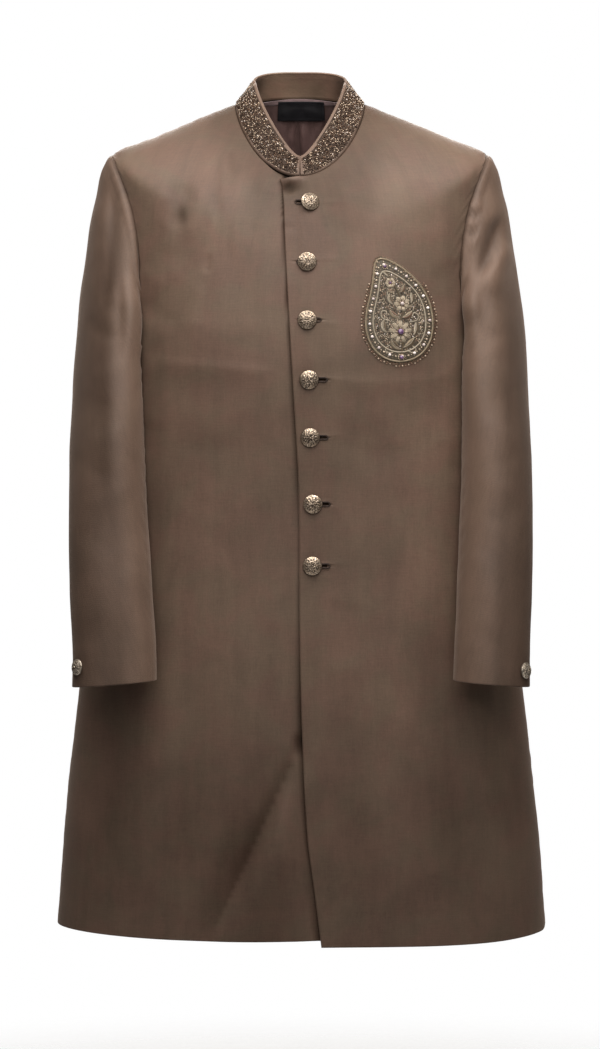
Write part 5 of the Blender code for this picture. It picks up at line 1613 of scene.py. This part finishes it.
BUTTON_TILT = ((0.20, 0, 0.02), (0.03, 0, -0.02), (-0.02, 0, 0.03), (0.04, 0, 0.02), (0.0, 0, -0.04), (0.05, 0, 0.0),
               (-0.03, 0, 0.02))
for i, (bx, bz, _, _) in enumerate(BUTTONS, 1):
    bp, bn = spot(np.array([bx]), np.array([bz]))
    lift_ = float(relief("left", np.array([bx]), np.array([bz]))[0]) + 0.8
    button_piece("button_%d_cast" % i, "button_%d" % i, placed(bp[0], bn[0], lift_, BUTTON_TILT[i - 1]), BUTTON_D,
                 0.8 + WALL_BODY + LAP_GAP - 0.3, i)
for side_, (cz, psi_) in CUFF_BUTTONS.items():
    tau_ = 6 + (SLEEVE[6][0] - cz) / (SLEEVE[6][0] - SLEEVE[7][0])
    e_ = 0.5
    cp = section(side_, np.array([tau_]), np.array([psi_]))[0]
    du = section(side_, np.array([tau_]), np.array([psi_ + e_]))[0] - section(side_, np.array([tau_]), np.array([psi_ - e_]))[0]
    dv = section(side_, np.array([tau_ + 0.02]), np.array([psi_]))[0] - section(side_, np.array([tau_ - 0.02]), np.array([psi_]))[0]
    cn = np.cross(du, dv)
    cn = cn / np.linalg.norm(cn)
    inner_ = middle_of(side_, np.array([tau_]))
    centre_ = np.array([(1 if side_ == "left" else -1) * float(np.ravel(inner_[0])[0]), float(np.ravel(inner_[1])[0]), cp[2]])
    cn = cn * np.sign(np.dot(cn, cp - centre_))
    button_piece("cuff_button_%s_cast" % side_, "cuff_button_" + side_, placed(cp, cn, 2.0), CUFF_BUTTON_D, 1.6,
                 20 + len(side_))


def buttonholes():
    """Close purl stitches all round each slit, fanned round both ends."""
    rng = random.Random(77)
    heap = Heap()
    for bi, (bx, bz, x1, x2) in enumerate(BUTTONS):
        spots = []
        n = int((x2 - x1 - SLIT_W) / 0.78)
        for i in range(n + 1):
            x = x1 + SLIT_W / 2 + (x2 - x1 - SLIT_W) * i / n
            for s in (-1, 1):
                spots.append((x, bz + s * (SLIT_W / 2 - 0.05), x, bz + s * (SLIT_W / 2 + 2.1 + rng.uniform(-0.15, 0.15))))
        for cx, sgn in ((x1 + SLIT_W / 2, -1), (x2 - SLIT_W / 2, 1)):
            for k in range(-3, 4):
                a = math.radians(k * 25)
                r0, r1 = SLIT_W / 2 - 0.05, SLIT_W / 2 + 2.2
                spots.append((cx + sgn * r0 * math.cos(a), bz + r0 * math.sin(a),
                              cx + sgn * r1 * math.cos(a), bz + r1 * math.sin(a)))
        q = np.array(spots)
        pa, na = on_front(q[:, 0], q[:, 1])
        pb, _ = on_front(q[:, 2], q[:, 3])
        for j in range(len(q)):
            stitch(heap, pa[j], pb[j], 0.74, 0.30, 0, rng.random(), na[j], 0.42)
    obj = heap.build("buttonhole_stitches", [HOLE_THREAD])
    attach(obj, "root")
    return obj


buttonhole_obj = buttonholes()


# ======================================================================
# The chest patch: a boteh of flowers and leaves in metal thread and beads
# ======================================================================
GOLD_T = thread("zari_pale_gold", (0.38, 0.305, 0.215), 0.34, 0.55, 0.7)
CHAMPAGNE_T = thread("zari_champagne", (0.56, 0.48, 0.375), 0.38, 0.40, 0.7)
OLIVE_T = thread("zari_olive", (0.150, 0.110, 0.070), 0.45, 0.35, 0.7)
COPPER_T = thread("zari_copper", (0.25, 0.155, 0.105), 0.40, 0.50, 0.7)


def stone_material():
    m = Nodes("purple_stone")
    fine = m.noise(m.place(), 0.5, 2.0)
    base = m.mix(m.ramp(fine, 0.35, 0.65), (0.10, 0.045, 0.12), (0.20, 0.11, 0.22))
    m.set(Base_Color=base, Roughness=m.ramp(fine, 0.3, 0.7, 0.06, 0.12), Specular_IOR_Level=0.8, Coat_Weight=0.6,
          Coat_Roughness=0.05)
    return m.mat


def patch_ground():
    """Dark olive net under the embroidery."""
    m = Nodes("patch_ground")
    place = m.place()
    fine = m.noise(place, 0.7, 4.0, 0.65)
    net = m.add("TexVoronoi", {"feature": "DISTANCE_TO_EDGE"}, Vector=place, Scale=0.8, Randomness=0.7).outputs["Distance"]
    base = m.mix(m.ramp(fine, 0.35, 0.65), (0.030, 0.024, 0.014), (0.085, 0.066, 0.042))
    base = m.mix(m.ramp(net, 0.02, 0.12, 0.5, 0.0), base, (0.15, 0.115, 0.078))
    m.set(Base_Color=base, Roughness=m.ramp(fine, 0.3, 0.7, 0.5, 0.7))
    m.set(Normal=m.bump(m.math("ADD", fine, net), 0.6, 0.0004))
    return m.mat


STONE = stone_material()
PATCH_GOLD = bead_material("patch_pale_gold", (0.60, 0.48, 0.36), 0.5, 0.24, 5)
PATCH_COPPER = bead_material("patch_copper", (0.26, 0.165, 0.115), 0.5, 0.26, 6)
PATCH_PEARL = bead_material("patch_pearl", (0.86, 0.72, 0.68), 0.0, 0.2, 7)
PATCH_MATS = [GOLD_T, CHAMPAGNE_T, OLIVE_T, COPPER_T, PATCH_GOLD, PATCH_COPPER, PATCH_PEARL, DARK_BEAD, STONE]
T_GOLD, T_CHAMP, T_OLIVE, T_COPPER, B_GOLD, B_COPPER, B_PEARL, B_DARK, STONE_I = range(9)


def teardrop(a):
    """Outline of the patch, in parts of its half width and height."""
    t = np.radians(a)
    x = np.sin(t) * (1 - 0.45 * (1 + np.cos(t)) / 2) * 1.22
    z = np.cos(t)
    return x - 0.52 * (np.maximum(0.0, z - 0.1) / 0.9) ** 2.2, z


class Patch:
    """Draws in the patch's own millimetres: x across, z up, and a lift off
    the cloth; every point is carried onto the cloth at the end."""

    def __init__(self, seed):
        self.heap = Heap()
        self.rng = random.Random(seed)
        self.taken = []

    def line(self, scale, count, shift=0.0):
        """Points evenly spaced along the outline, at that scale."""
        a = np.linspace(0, 360, 721)
        x, z = teardrop(a)
        x, z = x * MOTIF_W / 2 * scale, (-0.15 + (z + 0.15) * scale) * MOTIF_H / 2
        run = np.concatenate([[0.0], np.cumsum(np.hypot(np.diff(x), np.diff(z)))])
        at = (np.arange(count) + shift) / count * run[-1]
        return np.interp(at, run, x), np.interp(at, run, z), run[-1]

    def bead(self, x, z, r, index, lift=0.7, flat=0.8, shape=BALL6):
        pts = shape[0]
        turn = self.rng.random() * 6.28
        c, s = math.cos(turn), math.sin(turn)
        v = np.stack([x + (pts[:, 0] * c - pts[:, 1] * s) * r, z + (pts[:, 0] * s + pts[:, 1] * c) * r,
                      lift + (1 + pts[:, 2]) * r * flat], 1)
        self.heap.put(v, shape[1], index, self.rng.random())
        self.taken.append((x, z, r))

    def strand(self, x0, z0, x1, z1, width, index, lift=0.7, up=0.6):
        stitch(self.heap, (x0, z0, 0.0), (x1, z1, 0.0), width, up, index, self.rng.random(), (0.0, 0.0, 1.0),
               lift + width * 0.4)
        k = max(1, int(math.hypot(x1 - x0, z1 - z0) / 1.5))
        self.taken += [(x0 + (x1 - x0) * i / k, z0 + (z1 - z0) * i / k, width * 0.5) for i in range(k + 1)]

    def cord(self, xs, zs, width, index, pitch=0.95, slant=0.9, closed=False, lift=0.7, up=0.55):
        """Satin stitch laid slantwise over a path."""
        xs, zs = np.asarray(xs, float), np.asarray(zs, float)
        if closed:
            xs, zs = np.append(xs, xs[0]), np.append(zs, zs[0])
        run = np.concatenate([[0.0], np.cumsum(np.hypot(np.diff(xs), np.diff(zs)))])
        n = max(2, int(run[-1] / pitch))
        widths = width if callable(width) else (lambda t: width)
        for i in range(n + (0 if closed else 1)):
            t = i / n
            q = t * run[-1]
            x, z = np.interp(q, run, xs), np.interp(q, run, zs)
            e = 0.4
            dx = np.interp(min(q + e, run[-1]), run, xs) - np.interp(max(q - e, 0), run, xs)
            dz = np.interp(min(q + e, run[-1]), run, zs) - np.interp(max(q - e, 0), run, zs)
            m = math.hypot(dx, dz) or 1.0
            dx, dz = dx / m, dz / m
            w = widths(t)
            ox, oz = -dz * w / 2 + dx * w * slant / 2, dx * w / 2 + dz * w * slant / 2
            self.strand(x - ox, z - oz, x + ox, z + oz, pitch * 0.92, index, lift, up)

    def leaf(self, x, z, angle, length, width, index, vein, bend=0.0):
        """A leaf of two rows of slanting stitches on either side of a vein."""
        a = math.radians(angle)
        n = max(4, int(length / 0.95))
        mid = []
        for i in range(n + 1):
            t = i / n
            turn = a + bend * (t - 0.5)
            mid.append((x + math.cos(turn) * length * t, z + math.sin(turn) * length * t))
        for i in range(1, n):
            t = i / n
            w = width / 2 * math.sin(math.pi * t ** 0.8) ** 0.8
            cx, cz = mid[i]
            dx, dz = mid[i + 1][0] - mid[i - 1][0], mid[i + 1][1] - mid[i - 1][1]
            m = math.hypot(dx, dz)
            dx, dz = dx / m, dz / m
            for s in (-1, 1):
                self.strand(cx - dz * s * 0.25, cz + dx * s * 0.25,
                            cx - dz * s * w + dx * w * 0.75, cz + dx * s * w + dz * w * 0.75,
                            0.86, index if s > 0 else vein, 0.7, 0.55)
        for i in range(0, n, 2):
            self.strand(*mid[i], *mid[min(n, i + 2)], 0.75, T_CHAMP, 1.25, 0.25)

    def flower(self, x, z, r0, r1, petals, index, edge, centre, turn=0.0):
        """Petals of fanned stitches round a stone or a pearl."""
        for k in range(petals):
            a0 = turn + math.tau * k / petals
            wide = math.tau / petals * 0.43
            m = 4
            for i in range(-m, m + 1):
                f = i / m
                a = a0 + wide * f * 0.92
                reach = r0 + (r1 - r0) * math.sqrt(max(0.0, 1 - (abs(f) * 0.86) ** 2))
                inner = a0 + wide * f * 0.6
                self.strand(x + math.cos(inner) * r0, z + math.sin(inner) * r0,
                            x + math.cos(a) * reach, z + math.sin(a) * reach, 0.8, index if i % 2 else edge, 0.7, 0.7)
            a = a0 + math.tau / petals / 2
            self.bead(x + math.cos(a) * (r0 + (r1 - r0) * 0.62), z + math.sin(a) * (r0 + (r1 - r0) * 0.62), 0.75,
                      B_GOLD)
        for k in range(int(math.tau * (r0 - 0.3) / 1.6)):
            a = math.tau * k / int(math.tau * (r0 - 0.3) / 1.6)
            self.bead(x + math.cos(a) * (r0 - 0.3), z + math.sin(a) * (r0 - 0.3), 0.72, B_COPPER if k % 2 else B_GOLD)
        self.bead(x, z, r0 - 1.1, centre, 0.7, 0.62, BALL8)

    def free(self, x, z, r):
        near = self.near
        key = (int(x // 3), int(z // 3))
        for i in (-1, 0, 1):
            for j in (-1, 0, 1):
                for o in near.get((key[0] + i, key[1] + j), ()):
                    if math.hypot(x - o[0], z - o[1]) < (r + o[2]) * 0.95:
                        return False
        return True

    def fill(self, count, edge):
        """Seed beads over the ground wherever nothing else is sewn."""
        self.near = {}
        for o in self.taken:
            self.near.setdefault((int(o[0] // 3), int(o[1] // 3)), []).append(o)
        a = np.linspace(0, 360, 241)
        ox, oz = teardrop(a)
        ox, oz = ox * MOTIF_W / 2 * edge, (-0.15 + (oz + 0.15) * edge) * MOTIF_H / 2
        made = 0
        for _ in range(count * 14):
            if made >= count:
                break
            x, z = self.rng.uniform(-42, 42), self.rng.uniform(-63, 63)
            cross = 0
            for i in range(240):
                if (oz[i] > z) != (oz[i + 1] > z) and x < (ox[i + 1] - ox[i]) * (z - oz[i]) / (oz[i + 1] - oz[i]) + ox[i]:
                    cross += 1
            r = self.rng.uniform(0.5, 0.85)
            if cross % 2 and self.free(x, z, r):
                pick = self.rng.random()
                self.bead(x, z, r, B_COPPER if pick < 0.26 else B_DARK if pick < 0.56 else B_GOLD if pick < 0.93 else
                          B_PEARL, 0.6)
                self.near.setdefault((int(x // 3), int(z // 3)), []).append((x, z, r))
                made += 1

    def ground(self):
        """The patch's own backing: a closed, slightly padded sheet."""
        around, rings = 96, 9
        a = np.arange(around) * 360 / around
        ox, oz = teardrop(a)
        v, faces = [], []
        for f in (1, -1):
            c = len(v)
            v.append((0.0, -0.15 * MOTIF_H / 2, 1.0 if f > 0 else -0.4))
            for r in range(1, rings + 1):
                q = (r / rings) ** 0.75 * 0.985
                top = 0.25 + 0.75 * math.sqrt(max(0.0, 1 - (r / rings) ** 6))
                for i in range(around):
                    v.append((ox[i] * MOTIF_W / 2 * q, (-0.15 + (oz[i] + 0.15) * q) * MOTIF_H / 2,
                              top if f > 0 else -0.4))
            for i in range(around):
                j = (i + 1) % around
                tri = (c, c + 1 + i, c + 1 + j)
                faces.append(tri if f < 0 else tri[::-1])
                for r in range(rings - 1):
                    o, q = c + 1 + r * around, c + 1 + (r + 1) * around
                    quad = (o + i, q + i, q + j, o + j)
                    faces.append(quad if f < 0 else quad[::-1])
        n = len(v) // 2
        for i in range(around):
            j = (i + 1) % around
            o = 1 + (rings - 1) * around
            faces.append((o + i, o + j, n + o + j, n + o + i))
        grain = [(p[0], p[1], 0.0) for p in v]
        return v, faces, grain


def on_cloth(local):
    """From the patch's own frame onto the front's cloth."""
    x, z = MOTIF_X + local[:, 0], MOTIF_Z + local[:, 1]
    gx, gz = np.linspace(x.min() - 2, x.max() + 2, 34), np.linspace(z.min() - 2, z.max() + 2, 44)
    GX, GZ = np.meshgrid(gx, gz)
    P, N = on_front(GX.ravel(), GZ.ravel())
    P, N = P.reshape(44, 34, 3), N.reshape(44, 34, 3)
    fx = (x - gx[0]) / (gx[1] - gx[0])
    fz = (z - gz[0]) / (gz[1] - gz[0])
    i, j = np.clip(fz.astype(int), 0, 42), np.clip(fx.astype(int), 0, 32)
    a, b = (fx - j)[:, None], (fz - i)[:, None]

    def take(G):
        return (G[i, j] * (1 - a) * (1 - b) + G[i, j + 1] * a * (1 - b) + G[i + 1, j] * (1 - a) * b
                + G[i + 1, j + 1] * a * b)
    n = unit(take(N))
    return take(P) + n * (local[:, 2] + 0.15)[:, None]


def curve_points(ctrl, n=30):
    """Smooth path through a few points."""
    c = np.array(ctrl, float)
    out = []
    for i in range(len(c) - 1):
        p0, p1, p2, p3 = c[max(0, i - 1)], c[i], c[i + 1], c[min(len(c) - 1, i + 2)]
        for k in range(n):
            t = k / n
            out.append(0.5 * ((2 * p1) + (p2 - p0) * t + (2 * p0 - 5 * p1 + 4 * p2 - p3) * t * t
                              + (3 * p1 - p0 - 3 * p2 + p3) * t ** 3))
    out.append(c[-1])
    return np.array(out)


def chest_patch():
    d = Patch(9)
    rng = d.rng
    # two corded outlines with pearls and beads between them
    x, z, run = d.line(0.945, 300)
    d.cord(x, z, 2.3, T_GOLD, 1.0, 0.8, True)
    x, z, run = d.line(0.745, 260)
    d.cord(x, z, 1.5, T_CHAMP, 1.0, 0.9, True)
    n = 38
    x, z, _ = d.line(0.845, n)
    for i in range(n):
        if i % 2 == 0:
            d.bead(x[i], z[i], 1.75, B_PEARL, 0.7, 0.85, BALL8)
        else:
            d.bead(x[i], z[i], 1.25, B_GOLD, 0.7, 0.8)
    x, z, _ = d.line(0.845, n, 0.5)
    for i in range(n):
        d.bead(x[i], z[i], 0.8, B_GOLD)
    n = 57
    for f, s_ in ((0.895, 0.2), (0.795, 0.7)):
        x, z, _ = d.line(f, n, s_)
        for i in range(n):
            if rng.random() < 0.8:
                d.bead(x[i], z[i], rng.uniform(0.55, 0.8), B_COPPER if i % 3 else B_GOLD)
    # bristling fringe of short strands and copper beads outside the outline
    n = 190
    x, z, _ = d.line(0.985, n)
    for i in range(n):
        tx, tz = x[(i + 1) % n] - x[i - 1], z[(i + 1) % n] - z[i - 1]
        m = math.hypot(tx, tz) or 1.0
        nx, nz = tz / m, -tx / m
        if nx * x[i] + nz * (z[i] + 10) < 0 and z[i] < 30:
            nx, nz = -nx, -nz
        reach = rng.uniform(1.4, 3.2)
        d.strand(x[i] - nx * 0.8, z[i] - nz * 0.8, x[i] + nx * reach + tx / m * 0.7, z[i] + nz * reach + tz / m * 0.7,
                 0.8, T_COPPER if i % 3 else T_OLIVE, 0.2, 0.3)
        if i % 2 == 0:
            d.bead(x[i] + nx * (reach + 0.6), z[i] + nz * (reach + 0.6), 0.95, B_COPPER if i % 4 else B_GOLD, 0.1)
    # stem, leaves and flowers
    stem = curve_points([(2, -52), (4, -40), (-1, -30), (1, -14), (5, 0), (1, 14), (-5, 26), (-13, 38)])
    d.cord(stem[:, 0], stem[:, 1], lambda t: 2.4 - 0.9 * t, T_OLIVE, 0.95, 0.7, False, 0.6)
    d.flower(1.0, -26.0, 4.6, 14.2, 9, T_GOLD, T_CHAMP, STONE_I, 0.2)
    d.flower(3.0, 7.0, 3.3, 10.0, 7, T_CHAMP, T_GOLD, B_PEARL, 0.5)
    d.flower(-10.5, 31.0, 2.5, 6.4, 6, T_GOLD, T_CHAMP, STONE_I, 0.1)
    for x0, z0, ang, ln, wd, a, b, bend in (
            (4, -44, 28, 17, 7.5, T_GOLD, T_OLIVE, 0.5), (2, -46, 150, 16, 7.0, T_GOLD, T_OLIVE, -0.5),
            (16, -29, 62, 15, 6.5, T_CHAMP, T_OLIVE, 0.6), (-15, -27, 118, 15, 6.5, T_CHAMP, T_OLIVE, -0.6),
            (3, -9, 18, 14, 6.0, T_GOLD, T_COPPER, 0.6), (0, -9, 160, 14, 6.0, T_GOLD, T_COPPER, -0.6),
            (13, 8, 70, 12, 5.5, T_CHAMP, T_OLIVE, 0.7), (-8, 6, 120, 13, 5.5, T_CHAMP, T_OLIVE, -0.5),
            (1, 20, 55, 10, 4.8, T_GOLD, T_COPPER, 0.4), (-6, 20, 165, 9, 4.2, T_GOLD, T_COPPER, -0.4),
            (-13, 38, 125, 9, 4.0, T_CHAMP, T_OLIVE, 0.3)):
        d.leaf(x0, z0, ang, ln, wd, a, b, bend)
    # curled tendrils
    for pts in (((12, -14), (20, -12), (22, -6), (17, -3), (15, -7)), ((-12, -13), (-20, -10), (-21, -3), (-16, -2), (-15, -6)),
                ((10, -48), (17, -50), (19, -45), (15, -42)), ((-8, -50), (-15, -50), (-16, -45), (-12, -42)),
                ((-6, 16), (-12, 15), (-14, 20), (-10, 23))):
        c = curve_points(pts, 10)
        d.cord(c[:, 0], c[:, 1], 1.3, T_CHAMP, 0.9, 0.6, False, 0.6, 0.4)
    # a stone at the foot and one at the tip, each in a ring of beads
    for x0, z0, r in ((2.0, -55.5, 2.4), (-17.0, 50.0, 1.9)):
        d.bead(x0, z0, r, STONE_I, 1.3, 0.6, BALL8)
        for k in range(9):
            a = math.tau * k / 9
            d.bead(x0 + math.cos(a) * (r + 0.9), z0 + math.sin(a) * (r + 0.9), 0.75, B_GOLD, 1.1)
    # short curls of pale thread over the ground
    for _ in range(150):
        a, f = rng.random() * 360, math.sqrt(rng.random()) * 0.68
        x0, z0 = teardrop(a)
        x0, z0 = x0 * MOTIF_W / 2 * f, (-0.15 + (z0 + 0.15) * f) * MOTIF_H / 2
        if all(math.hypot(x0 - o[0], z0 - o[1]) > 1.5 + o[2] for o in d.taken):
            t, k = rng.random() * 6.28, rng.choice((-1, 1)) * rng.uniform(0.25, 0.5)
            x1, z1 = x0, z0
            for _ in range(rng.randint(2, 4)):
                x2, z2 = x1 + math.cos(t) * 1.9, z1 + math.sin(t) * 1.9
                d.strand(x1, z1, x2, z2, 0.8, T_CHAMP if rng.random() < 0.6 else T_GOLD, 0.7, 0.4)
                x1, z1, t = x2, z2, t + k
    d.fill(820, 0.74)
    v, faces, grain = d.ground()
    d.heap.put(v, faces, T_OLIVE, 0.4, grain)
    d.heap.index[-len(faces):] = [9] * len(faces)
    d.heap.verts = [on_cloth(np.asarray(q)) for q in [np.concatenate(d.heap.verts)]]
    obj = d.heap.build("chest_embroidery", PATCH_MATS + [patch_ground()])
    return ride(obj, "chest_motif")


patch_obj = chest_patch()


# ======================================================================
# Floor, light and camera
# ======================================================================
FLOOR_Z = -1.34
FLOOR_R = 1.5
floor_nodes = Nodes("pale_floor")
spot_at = floor_nodes.place()
flat_r = floor_nodes.add("VectorMath", {"operation": "LENGTH"}, i0=floor_nodes.add(
    "VectorMath", {"operation": "MULTIPLY"}, i0=spot_at, i1=(1.0, 1.0, 0.0)).outputs[0]).outputs["Value"]
floor_nodes.set(Base_Color=floor_nodes.mix(floor_nodes.ramp(floor_nodes.noise(spot_at, 0.004, 3.0), 0.3, 0.7),
                                           (0.86, 0.86, 0.86), (0.89, 0.89, 0.89)), Roughness=0.9,
                Specular_IOR_Level=0.1, Alpha=floor_nodes.ramp(flat_r, 700.0, FLOOR_R * 950.0, 1.0, 0.0))
ring_ = [(FLOOR_R * math.cos(math.tau * i / 64), FLOOR_R * math.sin(math.tau * i / 64), FLOOR_Z) for i in range(64)]
floor_mesh = bpy.data.meshes.new("floor")
floor_mesh.from_pydata(ring_, [], [tuple(range(64))])
floor_mesh.materials.append(floor_nodes.mat)
floor_obj = bpy.data.objects.new("floor", floor_mesh)
bpy.context.scene.collection.objects.link(floor_obj)

# A pale studio: seen as white, and softly dimmer as light
world = bpy.data.worlds.new("studio")
bpy.context.scene.world = world
world.use_nodes = True
wt = world.node_tree
back_n = wt.nodes["Background"]
back_n.inputs["Color"].default_value = (1.0, 1.0, 1.0, 1.0)
path = wt.nodes.new("ShaderNodeLightPath")
dim = wt.nodes.new("ShaderNodeMapRange")
WORLD = 0.05
dim.inputs["To Min"].default_value = WORLD
dim.inputs["To Max"].default_value = 1.0
wt.links.new(path.outputs["Is Camera Ray"], dim.inputs["Value"])
wt.links.new(dim.outputs["Result"], back_n.inputs["Strength"])


def area(name, place, target, width, height, power, colour=(1.0, 0.965, 0.925)):
    data = bpy.data.lights.new(name, "AREA")
    data.shape = "RECTANGLE"
    data.size, data.size_y = width, height
    data.energy = power
    data.color = colour
    obj = bpy.data.objects.new(name, data)
    obj.location = place
    obj.rotation_mode = "QUATERNION"
    obj.rotation_quaternion = (Vector(target) - Vector(place)).to_track_quat("-Z", "Y")
    bpy.context.scene.collection.objects.link(obj)
    return obj


LIGHTS = (
    # name       place                 target               width height power
    ("key",      (0.0, -0.95, 0.62),   (0.0, -0.05, -0.22), 1.2, 0.7, 11.3),
    ("top_a",    (0.52, -0.48, 0.92),  (0.15, -0.08, -0.14), 0.7, 0.6, 15.0),
    ("top_b",    (-0.52, -0.48, 0.92), (-0.15, -0.08, -0.14), 0.7, 0.6, 12.3),
    ("left",     (1.7, -1.60, 0.30),   (0.0, -0.10, -0.35), 1.0, 1.2, 4.3),
    ("front",    (0.0, -1.5, 0.10),    (0.0, 0.0, -0.36),   1.2, 0.8, 7.3),
    ("back",     (0.0, 1.7, 0.95),     (0.0, 0.1, -0.4),    1.6, 1.0, 44.0),
)
for light in LIGHTS:
    area(*light)

camera_data = bpy.data.cameras.new("camera")
camera_data.lens = 91.52
camera_data.sensor_width = 36.0
camera_data.clip_start, camera_data.clip_end = 0.05, 100.0
camera = bpy.data.objects.new("camera", camera_data)
camera.location = (0.0, -3.2, -0.501)
camera.rotation_euler = (math.radians(90), 0.0, 0.0)
bpy.context.scene.collection.objects.link(camera)
bpy.context.scene.camera = camera
view = bpy.context.scene.view_settings
view.view_transform = "Standard"
view.look = "None"
view.exposure = 0.0
view.gamma = 1.0
